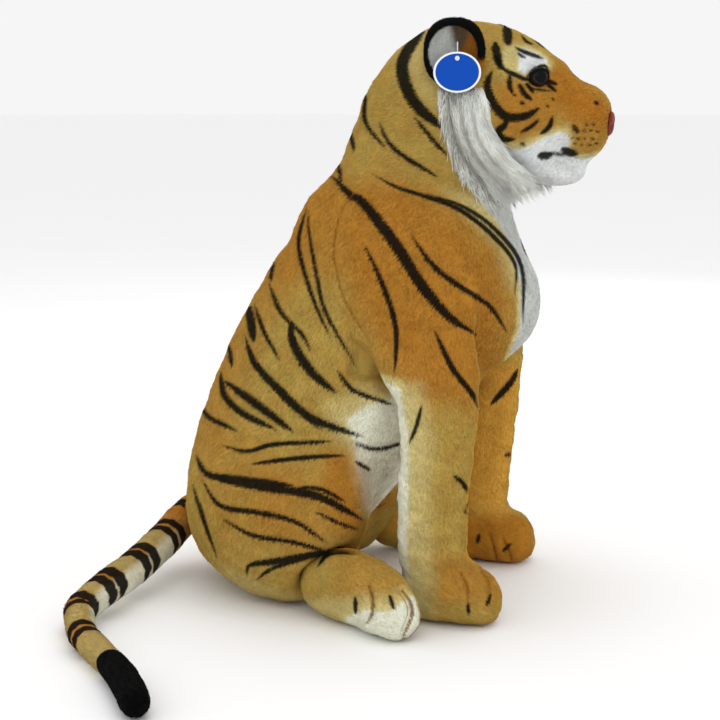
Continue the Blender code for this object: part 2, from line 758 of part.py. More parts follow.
def ear_plate(side, inset, inner, outer, grow=0.0, fold=0.0):
    """A slice of the ear's outline, from its inner to its outer face, with a rounded top."""
    half = 0.5 * EAR_WIDTH - inset + grow
    low = inset - grow
    high = EAR_HEIGHT - inset + grow
    right = [(half * width, low + (high - low) * rise) for rise, width in EAR_OUTLINE_SHARES]
    outline = right + [(-x, z) for x, z in reversed(right)]
    rings = [[(x, side * y, z) for x, z in outline] for y in (inner - grow, outer + grow)]
    return moved(stacked(rings), ear_frame(side, fold))


def cut_ear_room(side, head):
    """Room in the head for an ear's root and for the foot of the ear, over its whole fold."""
    name = SIDE_NAMES[side] + "_ear_room"
    half = 0.5 * EAR_THICKNESS
    cut(head, cutter(name + "_root", ear_root_shape(side, 2 * GAP)))
    for fold in (-EAR_FOLD_OUT, 0.0, EAR_FOLD_IN):
        cut(head, cutter(name, ear_plate(side, 0.0, -half, half, 2 * GAP, fold)))


def make_ear(side):
    """An ear: its stuffed back with a shallow dish, and the pale lining in the dish."""
    name = SIDE_NAMES[side] + "_ear"
    half = 0.5 * EAR_THICKNESS
    back = piece(name, ear_plate(side, 0.0, -half, half), BLACK)
    combine(back, cutter(name + "_root", ear_root_shape(side)), "UNION")
    floor = half - LINING_THICKNESS
    dish = ear_plate(side, EAR_RIM, floor, half + OVERRUN)
    cut(back, cutter(name + "_dish", dish))
    lining = piece(name + "_lining", ear_plate(side, EAR_RIM + GAP, floor + GAP, half), GREY)
    return back, lining


def eye_frame(side):
    """Where an eye sits: Z points out of the head along the shank."""
    x = HEAD_BACK + EYE_PLACE_SHARES[0] * HEAD_LENGTH
    z = HEAD_BASE + EYE_PLACE_SHARES[1] * HEAD_HEIGHT
    outward = Vector((1.0 - EYE_SPLAY_SHARE, side * EYE_SPLAY_SHARE, EYE_RISE_SHARE)).normalized()
    place = Vector((x, 0.0, z))
    rows = head_rows(HEAD_SHARES, HEAD_BACK, 0.0, HEAD_LENGTH, HEAD_WIDTH, HEAD_HEIGHT, BODY_RINGS)
    places = [row[0] for row in rows]
    step = EYE_STEP_SHARE * EYE_RADIUS
    for _ in range(int(HEAD_WIDTH / step)):
        edges = [np.interp(place.x, places, [row[column] for row in rows]) for column in range(1, 5)]
        across = (2 * place.y - edges[0] - edges[1]) / (edges[1] - edges[0])
        upward = (2 * place.z - edges[2] - edges[3]) / (edges[3] - edges[2])
        if across ** 2 + upward ** 2 >= 1.0:
            break
        place = place + step * Vector((0.0, side, 0.0))
    turn = outward.to_track_quat("Z", "Y").to_matrix().to_4x4()
    return Matrix.Translation(place) @ turn


def eye_shape(side):
    """The domed eye on its shank."""
    dome = [(share * EYE_DOME, EYE_RADIUS * math.sqrt(1.0 - share ** 2)) for share in EYE_DOME_SHARES]
    profile = [(-SHANK_LENGTH, SHANK_RADIUS), (GAP, SHANK_RADIUS), (GAP, EYE_RADIUS)] + dome
    return moved(turned("Z", (0.0, 0.0, 0.0), profile, SMALL_SIDES), eye_frame(side))


def washer_shape(side, grow=0.0, room=0.0):
    """The locking washer near the shank's end."""
    middle = WASHER_PLACE_SHARE * SHANK_LENGTH
    half = 0.5 * WASHER_THICKNESS + room
    profile = [(-middle - half, WASHER_RADIUS + room), (-middle + half, WASHER_RADIUS + room)]
    return moved(turned("Z", (0.0, 0.0, 0.0), profile, SMALL_SIDES, grow), eye_frame(side))


def shank_shape(side, reach, grow):
    """The shank with a clearance, from behind its end out to a reach in front of the skin."""
    profile = [(-SHANK_LENGTH - WASHER_ROOM, SHANK_RADIUS), (reach, SHANK_RADIUS)]
    return moved(turned("Z", (0.0, 0.0, 0.0), profile, SMALL_SIDES, grow), eye_frame(side))


def make_eye(side, head):
    """A safety eye, its locking washer, and the pocket that both take in the head."""
    name = SIDE_NAMES[side] + "_eye"
    eye = piece(name, eye_shape(side), BLACK, 0.08)
    washer = piece(name + "_washer", washer_shape(side), CLEAR_PLASTIC, 0.4)
    cut(washer, cutter(name + "_washer_hole", shank_shape(side, 0.0, GAP)))
    seat = [(0.0, EYE_RADIUS), (OVERRUN, EYE_RADIUS)]
    seat_shape = moved(turned("Z", (0.0, 0.0, 0.0), seat, SMALL_SIDES, GAP), eye_frame(side))
    cut(head, cutter(name + "_seat", seat_shape),
        cutter(name + "_shank_hole", shank_shape(side, OVERRUN, GAP)),
        cutter(name + "_washer_pocket", washer_shape(side, GAP, WASHER_ROOM)))
    return eye, washer


def make_head():
    """The head with what is sewn and fixed to it."""
    room = neck_room()
    head = piece("head", head_shape(), TAN)
    cut(head, room)
    made = [head]
    for side in (RIGHT, LEFT):
        made.extend(make_eye(side, head))
        cut_ear_room(side, head)
    head_room = cutter("head_room", head_shape(2 * GAP))
    muzzle = piece("muzzle", muzzle_shape(), WHITE)
    cut(muzzle, head_room)
    rows = head_rows(CHIN_SHARES, HEAD_FRONT - CHIN_PLACE_SHARES[0] * CHIN_LENGTH, CHIN_PLACE_SHARES[1],
                     CHIN_LENGTH, CHIN_WIDTH, CHIN_HEIGHT, LIMB_RINGS)
    chin = piece("chin", loft("X", rows, LIMB_SIDES), WHITE)
    muzzle_room = cutter("muzzle_room", muzzle_shape(GAP))
    cut(chin, head_room, muzzle_room)
    rows = head_rows(NOSE_SHARES, MUZZLE_FRONT - NOSE_PLACE_SHARES[0] * NOSE_DEPTH, NOSE_PLACE_SHARES[1],
                     NOSE_DEPTH, NOSE_WIDTH, NOSE_HEIGHT, LIMB_RINGS)
    nose = piece("nose", loft("X", rows, SMALL_SIDES), NOSE_RED, 0.35)
    cut(nose, head_room, muzzle_room)
    made.extend((muzzle, chin, nose))
    for side in (RIGHT, LEFT):
        made.append(make_ruff(side, head_room, room))
    return made


def make_ruff(side, head_room, room):
    """The long-pile ruff under an ear."""
    back = HEAD_BACK + RUFF_PLACE_SHARES[0] * HEAD_LENGTH
    inner = RUFF_PLACE_SHARES[1] * 0.5 * HEAD_WIDTH
    top = HEAD_BASE + RUFF_PLACE_SHARES[2] * HEAD_HEIGHT
    rows = [(top - place * RUFF_LENGTH, back + rear * RUFF_DEPTH, back + front * RUFF_DEPTH,
             inner + near * RUFF_THICKNESS, inner + far * RUFF_THICKNESS)
            for place, rear, front, near, far in eased(RUFF_SHARES, LIMB_RINGS)]
    vertices, faces = loft("Z", rows[::-1], LIMB_SIDES)
    ruff = piece(SIDE_NAMES[side] + "_ruff", ([(x, side * y, z) for x, y, z in vertices], faces), WHITE)
    cut(ruff, head_room, room)
    return ruff


def leg_shape(side, grow=0.0):
    """The straight front leg under its shoulder pad."""
    plane = SHOULDER_PLANE + GAP
    rows = [(height * SHOULDER_Z, SHOULDER_X + back * LEG_DEPTH, SHOULDER_X + front * LEG_DEPTH,
             plane + inner * LEG_WIDTH, plane + outer * LEG_WIDTH)
            for height, back, front, inner, outer in eased(LEG_SHARES, LIMB_RINGS)]
    vertices, faces = loft("Z", rows[::-1], LIMB_SIDES, grow, LIMB_FULLNESS_SHARE)
    return [(x, side * y, z) for x, y, z in vertices], faces


def make_front_leg(side, floor):
    """A shoulder pad with its leg in one piece, and the paw below it."""
    name = SIDE_NAMES[side] + "_front_leg"
    leg = piece(name, pad_shape(side), ORANGE)
    combine(leg, cutter(name + "_column", leg_shape(side)), "UNION")
    start = SHOULDER_X + PAW_PLACE_SHARES[0] * LEG_DEPTH
    if side == LEFT:
        start -= LEFT_PAW_SETBACK
    middle = side * (SHOULDER_PLANE + PAW_PLACE_SHARES[1] * LEG_WIDTH)
    rows = [(start + place * PAW_LENGTH, middle - half * 0.5 * PAW_WIDTH, middle + half * 0.5 * PAW_WIDTH,
             low * PAW_HEIGHT - FLOOR_CUT, high * PAW_HEIGHT)
            for place, half, low, high in eased(PAW_SHARES, LIMB_RINGS)]
    paw = piece(SIDE_NAMES[side] + "_front_paw", loft("X", rows, LIMB_SIDES, 0.0, LIMB_FULLNESS_SHARE), ORANGE)
    cut(paw, cutter(name + "_room", leg_shape(side, 2 * GAP)), floor)
    return leg, paw


def foot_frame(side, lift=0.0):
    """The ankle, with X along the foot and Y along the hinge that the foot flexes on."""
    place = Matrix.Translation((ANKLE_X, side * ANKLE_Y, ANKLE_RADIUS))
    return place @ Matrix.Rotation(side * math.radians(FOOT_SPLAY), 4, "Z") @ Matrix.Rotation(-lift, 4, "Y")


def foot_shape(behind, grow=0.0):
    """A hind foot in front of the rows behind its ankle, about the ankle's middle."""
    ahead = FOOT_LENGTH - ANKLE_RADIUS
    rows = [(place, -radius, radius, -radius, radius) for place, radius in behind]
    low = -ANKLE_RADIUS - FLOOR_CUT
    for place, half, under, over in FOOT_SHARES:
        rows.append((place * ahead, -half * 0.5 * FOOT_WIDTH, half * 0.5 * FOOT_WIDTH,
                     low + under * FOOT_HEIGHT, low + over * FOOT_HEIGHT))
    return loft("X", rows, LIMB_SIDES, grow)


def make_hind_leg(side, floor):
    """A folded thigh and its foot."""
    name = SIDE_NAMES[side]
    rows = [(THIGH_BACK + place * THIGH_LENGTH, THIGH_INNER + inner * THIGH_WIDTH,
             THIGH_INNER + outer * THIGH_WIDTH, low * THIGH_HEIGHT - FLOOR_CUT, high * THIGH_HEIGHT)
            for place, inner, outer, low, high in eased(THIGH_SHARES, LIMB_RINGS)]
    vertices, faces = loft("X", rows, BODY_SIDES)
    thigh = piece(name + "_thigh", ([(x, side * y, z) for x, y, z in vertices], faces), TAN)
    heel = ball_profile(ANKLE_RADIUS, BALL_RINGS)[:BALL_RINGS // 2 + 1]
    foot = piece(name + "_hind_foot", moved(foot_shape(heel), foot_frame(side)), ORANGE)
    cut(foot, floor)
    socket = ball("Y", (0.0, 0.0, 0.0), ANKLE_RADIUS, TURNED_SIDES, BALL_RINGS, 2 * GAP)
    cut(thigh, cutter(name + "_torso_room", torso_shape(2 * GAP)))
    ankle = [(0.0, ANKLE_RADIUS)]
    for lift in (-FOOT_DOWN, 0.5 * (FOOT_UP - FOOT_DOWN), FOOT_UP):
        room = moved(foot_shape(ankle, 2 * GAP), foot_frame(side, math.radians(lift)))
        cut(thigh, cutter(name + "_foot_room", room))
    cut(thigh, cutter(name + "_ankle_socket", moved(socket, foot_frame(side))), floor)
    return thigh, foot


def make_tail_length(name, rings, dome_start, dome_end, colour):
    """One stuffed length of the tail, its domed ends centred on the joints that they turn in.

    Each ring is a point, a direction and a radius.
    """
    rings = list(rings)
    angles = np.linspace(0.0, 0.5 * math.pi, DOME_RINGS + 1)[1:]
    if dome_end:
        end, along, size = rings[-1]
        rings += [(end + size * math.sin(turn) * along, along, size * max(math.cos(turn), DOME_END_SHARE))
                  for turn in angles]
    if dome_start:
        end, along, size = rings[0]
        rings = [(end - size * math.sin(turn) * along, along, size * max(math.cos(turn), DOME_END_SHARE))
                 for turn in reversed(angles)] + rings
    return piece(name, tube(*zip(*rings), TAIL_SIDES), colour)


def make_tail(floor):
    """The tail in lengths, each turning on the domed end of the one before."""
    route, radii, cuts = tail_route()
    along = directions(route)
    plans = (("tail_root", TAN, True, True), ("tail_middle", TAN, False, True),
             ("tail_end", TAN, False, False), ("tail_tip", BLACK, False, True))
    made = []
    for (name, colour, dome_start, dome_end), first, last in zip(plans, cuts, cuts[1:]):
        rings = list(zip(route[first:last + 1], along[first:last + 1], radii[first:last + 1]))
        joint, start_along, start_radius = rings[0]
        socketed = name in ("tail_middle", "tail_end")
        if socketed:
            clear = start_radius * math.tan(0.5 * math.radians(TAIL_BEND)) + 2 * GAP
            rings[0] = (joint + clear * start_along, start_along, start_radius)
        elif not dome_start:
            rings[0] = (joint + GAP * start_along, start_along, start_radius)
        length = make_tail_length(name, rings, dome_start, dome_end, colour)
        if socketed:
            socket = ball("Y", joint, start_radius, TURNED_SIDES, BALL_RINGS, 2 * GAP)
            cut(length, cutter(name + "_socket", socket))
        cut(length, floor)
        made.append(length)
    return made, [route[place] for place in cuts[:3]]


def tag_frame(side=RIGHT):
    """The tag's hole, in front of the ear: X along the tag, Y out of its face, Z up."""
    x = TAG_PLACE_SHARES[0] * EAR_WIDTH
    z = TAG_PLACE_SHARES[1] * EAR_HEIGHT
    ear = ear_frame(side)
    place = ear @ Vector((x, side * (0.5 * EAR_THICKNESS + TAG_STAND_OFF), z))
    turn = -side * EAR_TURN_SHARE * 0.5 * math.pi
    return Matrix.Translation(place) @ Matrix.Rotation(turn, 4, "Z")


def make_tag(side=RIGHT):
    """The oval paper tag on its plastic tack."""
    frame = tag_frame(side)
    drop = TAG_HOLE_SHARE * TAG_HEIGHT
    half = 0.5 * TAG_THICKNESS
    sides = LIMB_SIDES + SMALL_SIDES
    angle = np.arange(sides) * (2 * math.pi / sides)
    outline = [(0.5 * TAG_WIDTH * math.cos(turn), 0.5 * TAG_HEIGHT * math.sin(turn) - drop) for turn in angle]
    rings = [[(x, y, z) for x, z in outline] for y in (-half, half)]
    tag = piece("hang_tag", moved(stacked(rings), frame), CARD_BLUE, 0.35)
    bore = [(-OVERRUN, TAG_HOLE_RADIUS), (OVERRUN, TAG_HOLE_RADIUS)]
    hole = turned("Y", (0.0, 0.0, 0.0), bore, SMALL_SIDES)
    cut(tag, cutter("tag_hole", moved(hole, frame)))
    return tag, make_tack(side, frame, half), frame


def make_tack(side, frame, half):
    """The tack's thread from the ear's lining through the tag's hole, and its paddle outside."""
    ear = ear_frame(side)
    top = Vector((0.0, 0.0, TACK_DROP))
    inward = frame.to_3x3().inverted() @ (ear.to_3x3() @ Vector((0.0, -side, 0.0)))
    depth = side * (ear.inverted() @ frame @ top).y - 0.5 * EAR_THICKNESS - GAP
    route = [top + inward * depth, top + inward * (TACK_START_SHARE * depth)]
    route += [Vector((0.0, -side * out * TAG_STAND_OFF, down * TACK_DROP)) for out, down in TACK_SHARES]
    route.append(Vector((0.0, side * (half + 2 * GAP), 0.0)))
    route = eased([tuple(point) for point in route], THREAD_STEPS * len(route))
    thread = tube(route, directions(route), [TACK_RADIUS] * len(route), THREAD_SIDES, (1.0, 0.0, 0.0))
    tack = piece("tag_tack", moved(thread, frame), CLEAR_PLASTIC, 0.3)
    start = side * (half + GAP)
    rim = [(start, TACK_PADDLE_RADIUS), (start + side * TACK_PADDLE_THICKNESS, TACK_PADDLE_RADIUS)]
    paddle = turned("Y", (0.0, 0.0, 0.0), rim, SMALL_SIDES)
    combine(tack, cutter("tack_paddle", moved(paddle, frame)), "UNION")
    return tack


def clear_scene():
    """Start from nothing."""
    for item in list(bpy.data.objects):
        bpy.data.objects.remove(item, do_unlink=True)


def build():
    """Every piece, with its joint's empty."""
    clear_scene()
    floor = floor_cutter()
    make_torso(floor)
    make_bib()
    neck = make_neck()
    head_pieces = make_head()
    nod = axis_empty("neck_nod_axis", NOD_AXIS)
    turn = axis_empty("head_turn_axis", TURN_AXIS, nod)
    hang(nod, neck)
    hang(turn, *head_pieces)
    folds = {}
    for side in (RIGHT, LEFT):
        fold = axis_empty(SIDE_NAMES[side] + "_ear_axis", ear_frame(side).translation, turn)
        hang(fold, *make_ear(side))
        folds[side] = fold
        leg, paw = make_front_leg(side, floor)
        hang(axis_empty(SIDE_NAMES[side] + "_shoulder_axis", shoulder_centre(side)), leg, paw)
        thigh, foot = make_hind_leg(side, floor)
        hang(axis_empty(SIDE_NAMES[side] + "_ankle_axis", foot_frame(side).translation), foot)
    lengths, joints = make_tail(floor)
    parent = None
    groups = ((lengths[0],), (lengths[1],), (lengths[2], lengths[3]))
    for name, place, group in zip(("tail_swing_axis", "tail_bend_axis", "tail_curl_axis"), joints, groups):
        parent = axis_empty(name, Vector(place), parent)
        hang(parent, *group)
    tag, tack, frame = make_tag()
    hang(folds[RIGHT], tack)
    hang(axis_empty("tag_swing_axis", frame.translation, folds[RIGHT]), tag)


build()
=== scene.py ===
"""A sitting plush tiger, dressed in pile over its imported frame.

The frame gives every stuffed form. Copies of its forms are fused into skins, relaxed and sculpted, painted
with the stripes and airbrushed patches that the photograph shows, and covered in short tufts of pile. The
stripes are given in pixels of the 720 by 720 photograph, and reach the surface through the same camera that
renders it. What the camera sees of the tiger's right side is mirrored onto its left side.
"""

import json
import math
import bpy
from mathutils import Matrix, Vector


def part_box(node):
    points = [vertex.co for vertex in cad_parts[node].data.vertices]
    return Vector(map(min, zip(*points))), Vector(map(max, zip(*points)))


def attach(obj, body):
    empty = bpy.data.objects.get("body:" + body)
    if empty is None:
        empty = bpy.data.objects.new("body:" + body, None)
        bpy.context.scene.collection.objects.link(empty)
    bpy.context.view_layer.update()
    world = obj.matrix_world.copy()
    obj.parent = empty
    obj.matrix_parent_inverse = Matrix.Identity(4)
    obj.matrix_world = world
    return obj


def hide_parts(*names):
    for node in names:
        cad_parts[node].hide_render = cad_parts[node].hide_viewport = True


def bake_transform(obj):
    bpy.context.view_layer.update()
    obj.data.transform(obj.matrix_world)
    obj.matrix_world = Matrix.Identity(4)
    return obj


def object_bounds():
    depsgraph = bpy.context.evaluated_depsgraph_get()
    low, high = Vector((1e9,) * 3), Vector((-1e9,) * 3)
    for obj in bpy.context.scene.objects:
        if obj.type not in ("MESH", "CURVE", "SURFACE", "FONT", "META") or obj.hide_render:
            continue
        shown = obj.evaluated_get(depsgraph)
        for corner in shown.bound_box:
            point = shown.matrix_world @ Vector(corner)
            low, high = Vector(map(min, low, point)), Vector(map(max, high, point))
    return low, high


bl_info = {
    "name": "Plush Tiger",
    "version": (1, 0, 0),
    "blender": (4, 5, 0),
    "location": "3D View > Sidebar > Plush Tiger",
    "description": "Dresses the packed tiger in plush skins, pile, face, ears, ruffs, tail and tag",
    "category": "Object",
}

import bmesh
import bpy
import numpy as np
from bpy.props import FloatProperty, FloatVectorProperty, PointerProperty
from mathutils import Vector
from mathutils.bvhtree import BVHTree

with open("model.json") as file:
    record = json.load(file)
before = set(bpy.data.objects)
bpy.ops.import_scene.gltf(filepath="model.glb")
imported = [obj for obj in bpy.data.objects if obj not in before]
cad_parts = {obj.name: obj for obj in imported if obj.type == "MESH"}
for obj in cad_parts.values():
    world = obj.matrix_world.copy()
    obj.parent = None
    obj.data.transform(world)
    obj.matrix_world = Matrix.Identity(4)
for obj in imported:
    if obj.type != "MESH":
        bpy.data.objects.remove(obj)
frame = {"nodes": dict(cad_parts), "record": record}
CAD_BOX = [list(corner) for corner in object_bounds()]
JOINTS = {joint["name"]: np.array(joint["pos_m"]) for joint in frame["record"]["behaviour"]["joints"]}
SEED = 71
RIGHT = -1
LEFT = 1
SIDES = {RIGHT: "right", LEFT: "left"}

# The photograph's camera
IMAGE_SIDE = 720
FIELD_OF_VIEW = math.radians(24.0)
CAMERA_PLACE = np.array((0.623, -1.951, 0.605))
CAMERA_TURN = math.radians(15.0)
CAMERA_PITCH = math.radians(9.33)
CAMERA_FORWARD = np.array((
    -math.sin(CAMERA_TURN) * math.cos(CAMERA_PITCH),
    math.cos(CAMERA_TURN) * math.cos(CAMERA_PITCH),
    -math.sin(CAMERA_PITCH),
))
CAMERA_RIGHT = np.array((math.cos(CAMERA_TURN), math.sin(CAMERA_TURN), 0.0))
CAMERA_UP = np.array((
    -math.sin(CAMERA_TURN) * math.sin(CAMERA_PITCH),
    math.cos(CAMERA_TURN) * math.sin(CAMERA_PITCH),
    math.cos(CAMERA_PITCH),
))
FOCAL_PIXELS = 0.5 * IMAGE_SIDE / math.tan(0.5 * FIELD_OF_VIEW)

# Stripes that run from the trunk onto the leg, as pixels
SHOULDER_LINES = (
    ((331, 174), (351, 195), (363, 202), (395, 243), (422, 285), (450, 317), (478, 335)),
    ((411, 234), (434, 266), (464, 289), (489, 305), (508, 333)),
    ((365, 245), (381, 280), (395, 321), (396, 354), (394, 374)),
    ((422, 404), (416, 427), (409, 443)),
)
# Stripes and marks: width in pixels, then the pixels that the stroke runs through
TRUNK_STROKES = (
    (13, (427, 28), (406, 55), (404, 78), (418, 106), (447, 131)),
    (4.7, (415, 117), (432, 138), (448, 156)),
    (4.7, (367, 90), (366, 122), (387, 149)),
    (5.2, (379, 122), (395, 149), (438, 177)),
    (4.3, (350, 127), (355, 151)),
    (5.2, (372, 173), (395, 186), (422, 195), (455, 207), (487, 230), (514, 262), (515, 294)),
    (4.7, (425, 193), (464, 207), (496, 230), (521, 266), (523, 323)),
    (4.3, (339, 160), (342, 183)),
    (4.7, (307, 208), (299, 239), (303, 266), (317, 308), (331, 337)),
    (4.3, (309, 210), (309, 230), (317, 275), (326, 312), (356, 366)),
    (3.9, (275, 258), (271, 282)),
    (5.2, (269, 282), (280, 310), (292, 324), (303, 335), (311, 351)),
    (10, (290, 320), (294, 344), (312, 372), (337, 393)),
    (9, (250, 304), (252, 326), (254, 342)),
    (4.7, (255, 303), (264, 331), (280, 360)),
    (9, (245, 334), (255, 363), (280, 390), (312, 418), (364, 437)),
    (5.2, (256, 362), (285, 399), (323, 431)),
    (4.7, (230, 344), (232, 367)),
    (7.5, (221, 370), (225, 395), (243, 413), (277, 430)),
    (9, (224, 380), (257, 404), (294, 432)),
    (5.2, (203, 402), (209, 416), (238, 431)),
    (5.2, (337, 369), (354, 390), (394, 405)),
    (4.3, (352, 441), (376, 449), (408, 441)),
    (4.3, (355, 461), (371, 470)),
    (5.2, (222, 445), (248, 451), (275, 444), (333, 441)),
    (5.2, (250, 464), (298, 458), (346, 455)),
    (8, (196, 453), (207, 473), (230, 478), (294, 485)),
    (9, (216, 480), (257, 486), (317, 496), (364, 520)),
    (4.7, (297, 487), (321, 489), (346, 502)),
    (6, (202, 479), (220, 505), (257, 512), (294, 521), (328, 543)),
    (5.2, (222, 518), (253, 535), (294, 542), (337, 554)),
    (4.3, (316, 512), (340, 523), (359, 529)),
    (3.6, (193, 484), (203, 518), (214, 550)),
    (2.8, (199, 498), (208, 530), (217, 557)),
    (7.5, (247, 576), (250, 565), (275, 561), (321, 553), (345, 546)),
    (4.7, (256, 580), (275, 567), (318, 555)),
) + tuple((width, *line) for width, line in zip((12, 6, 6, 4.3), SHOULDER_LINES))
LEG_STROKES = (
    (6.2, (434, 329), (452, 367), (473, 395), (488, 422)),
    (5.3, (453, 475), (462, 482), (471, 495)),
    (4.8, (464, 510), (470, 513)),
    (4.4, (467.5, 602), (468.5, 615)),
    (4.4, (491, 593), (486, 606)),
) + tuple((width, *line) for width, line in zip((11.5, 5.7, 5.7, 4.4), SHOULDER_LINES))
LEG_INNER_STROKES = (
    (6.8, (518, 368), (510, 383), (490, 405)),
    (4.5, (516, 452), (504, 455)),
    (4, (479, 533), (477, 544)),
    (4, (511, 543), (502, 552)),
)
FOOT_STROKES = (
    (5.4, (317, 567), (331, 553), (364, 553)),
    (4.5, (355, 596), (355.5, 614)),
    (4.5, (389, 594), (394, 610)),
)
FOOT_INNER_STROKES = (
    (6.5, (386, 466), (383, 488)),
    (5, (403, 467), (398, 479)),
)
# Toe seams of the hind foot, grooved and darkened with painted shade
FOOT_SEAMS = (
    (3.2, (369, 586), (372, 598), (372, 612), (367, 623)),
    (3.8, (402, 591), (410, 602), (411.5, 616), (403, 636)),
)
FACE_STROKES = (
    (10, (507, 26), (508, 34), (509, 45)),
    (4.6, (515, 47), (522, 51), (531, 54.5), (544, 59)),
    (3.2, (518, 52), (521, 55.5), (526, 58)),
    (9.5, (495, 42), (497, 54), (500, 66)),
    (5.5, (510, 74), (510, 85), (513, 94)),
    (6, (519, 83), (524, 93), (532.5, 100.5)),
    (4.5, (526, 83), (530, 88), (534, 93)),
    (4.5, (545, 79), (551, 82), (558, 85)),
    (4.5, (544, 79), (550, 86), (557, 92)),
    (9.8, (493, 70), (487.5, 84), (492.5, 101), (503, 114.7), (515, 117.5), (528, 115), (541, 107)),
    (7.4, (508, 116), (505, 125), (498, 132), (505, 139), (516, 139)),
    (4.5, (520, 133), (532, 126), (539.5, 119)),
    (5.5, (540, 134.5), (549, 127), (553, 116)),
    (4, (529, 34), (536, 40), (546, 49)),
    (3, (522, 36), (527, 42), (534, 45)),
    (4, (521, 102), (524, 104)),
    (2.8, (514, 94), (516, 96)),
    (2.6, (552, 98), (554, 100)),
    (2.8, (547, 105), (549, 107)),
    (4, (595, 102), (598, 104)),
    (4, (521, 143), (525, 145)),
)
EYE_STROKES = (
    (7, (497, 58), (500, 65), (504, 69)),
    (5, (500, 67), (508, 71.5), (516, 75), (525, 79), (533, 80)),
    (4, (526, 79), (531, 73), (537, 68), (545, 66), (549, 72)),
    (3.5, (527, 80), (534, 84), (542, 85), (548, 79)),
    (2.4, (526, 84), (532, 88.5), (541, 90), (550, 91)),
)
WHISKER_MARKS = (
    (5.5, (574, 126), (578, 132)),
    (2.2, (585, 124), (588, 125)),
    (2.2, (592, 124), (595, 125)),
    (2.2, (583, 130), (586, 131)),
    (2.2, (590, 130), (593, 131)),
    (2.2, (596, 131), (599, 132)),
    (2.2, (572, 137), (574, 138)),
    (2.2, (578, 138), (580, 139)),
    (2.2, (584, 138.5), (586, 139)),
    (2.2, (591, 138), (594, 139)),
    (2.2, (574, 143), (576, 144)),
    (2.2, (581, 144), (583, 145)),
    (2.2, (588, 144), (591, 145)),
    (2.2, (595, 143), (598, 143)),
)
MOUTH_STROKES = (
    (8.5, (539, 156), (544, 155.5), (551, 155)),
    (3.6, (539, 155), (552, 153), (564, 154.5), (578, 153)),
    (8.5, (563, 149), (569, 152), (576, 154)),
)
LIP_STROKES = ((3.2, (573, 157), (583, 157), (592, 154), (600, 149)),)
# Streaks of painted shade along the ruff's back edge
RUFF_SHADE_STREAKS = (
    (3.5, (447, 98), (452, 102), (458, 106)),
    (5.5, (447, 95), (450, 116), (455, 138), (466, 161), (482, 182), (494, 202)),
    (3.0, (460, 100), (463, 125), (472, 150), (488, 172)),
    (2.4, (472, 110), (477, 135), (490, 158), (508, 176)),
)
# Seams, grooved and darkened with painted shade: width in pixels, then the pixels
SHOULDER_SEAM = ((1.8, (353, 194), (341, 213), (335, 240), (335, 262), (345, 300), (372, 344)),)
PAW_SEAMS = (
    (2.6, (461, 574), (467, 586), (468, 602)),
    (2.6, (481, 571), (488, 582), (489, 594)),
)
# Grooves of the toe seams: strokes, softness in pixels and depth
PAW_GROOVES = (PAW_SEAMS, 3.8, 0.0062)
FOOT_GROOVES = (FOOT_SEAMS, 4.4, 0.0080)
# Depths of the shoulder seam's and the mouth's grooves, and a seam's painted shade as a share of orange
SHOULDER_SEAM_DEPTH = 0.0012
MOUTH_DEPTH = 0.004
SEAM_SHADE = 0.45
# The ruff's back and front edges, from under the ear to its tip
RUFF_BACK_EDGE = ((440, 86), (442, 104), (445, 122), (452, 147), (461, 168), (474, 187), (487, 202))
RUFF_FRONT_EDGE = ((480, 86), (485, 104), (488, 122), (497, 142), (510, 162), (522, 176), (530, 187))

# Airbrushed patches: colour, strength, softness in pixels, then the outline in pixels
SHOULDER_PATCH = (
    "orange", 0.75, 26, ((345, 185), (400, 175), (455, 205), (500, 250), (512, 300), (505, 370), (470, 410),
                         (415, 400), (375, 350), (335, 265)))
TRUNK_PATCHES = (
    SHOULDER_PATCH,
    ("orange", 0.45, 22, ((300, 180), (330, 170), (352, 220), (330, 270), (285, 290), (262, 270))),
    ("orange", 0.40, 20, ((338, 168), (300, 196), (258, 270), (228, 320), (206, 370), (192, 440), (222, 445),
                          (245, 380), (272, 316), (310, 256), (350, 205))),
    ("orange", 0.30, 24, ((190, 440), (240, 430), (300, 470), (300, 545), (215, 545))),
    ("cream", 0.85, 13, ((452, 150), (476, 178), (506, 222), (520, 250), (524, 300), (510, 280), (500, 245),
                         (470, 215), (446, 185))),
    ("white", 1.0, 5, ((452, 150), (464, 180), (480, 204), (497, 224), (511, 250), (519, 290), (518, 328),
                       (503, 368), (498, 420), (640, 420), (640, 120), (470, 120))),
    ("cream", 0.7, 14, ((325, 405), (365, 388), (412, 388), (425, 450), (400, 500), (365, 470), (338, 440))),
    # Belly in the brighter white: white fur with painted light
    ("belly", 1.0, 9, ((343, 418), (365, 402), (398, 394), (420, 400), (425, 450), (405, 480), (390, 530),
                       (362, 510), (352, 470), (352, 448))),
    ("orange", 0.7, 15, ((325, 448), (352, 450), (366, 470), (372, 500), (362, 535), (335, 530), (322, 485))),
    ("orange", 0.35, 25, ((262, 470), (330, 470), (350, 540), (300, 560), (255, 520))),
    ("cream", 0.60, 12, ((205, 566), (232, 572), (285, 594), (350, 608), (350, 660), (220, 640))),
)
LEG_PATCHES = (
    SHOULDER_PATCH,
    ("orange", 0.45, 12, ((490, 360), (520, 370), (505, 450), (480, 520), (466, 540), (472, 480),
                          (482, 420))),
    ("orange", 0.55, 14, ((432, 560), (515, 552), (515, 604), (440, 600))),
    ("cream", 0.75, 14, ((380, 385), (420, 385), (432, 440), (428, 500), (430, 560), (432, 640), (380, 640))),
    # Back of the leg in the brighter white: white fur with painted light
    ("belly", 1.0, 9, ((380, 376), (402, 385), (411, 430), (411, 500), (410, 560), (422, 640), (380, 640))),
)
LEG_INNER_PATCHES = (
    ("amber", 0.80, 12, ((470, 360), (530, 360), (524, 505), (466, 505))),
    ("amber", 0.55, 10, ((456, 500), (534, 500), (534, 570), (456, 570))),
    ("orange", 0.75, 10, ((460, 518), (534, 512), (534, 566), (460, 566))),
)
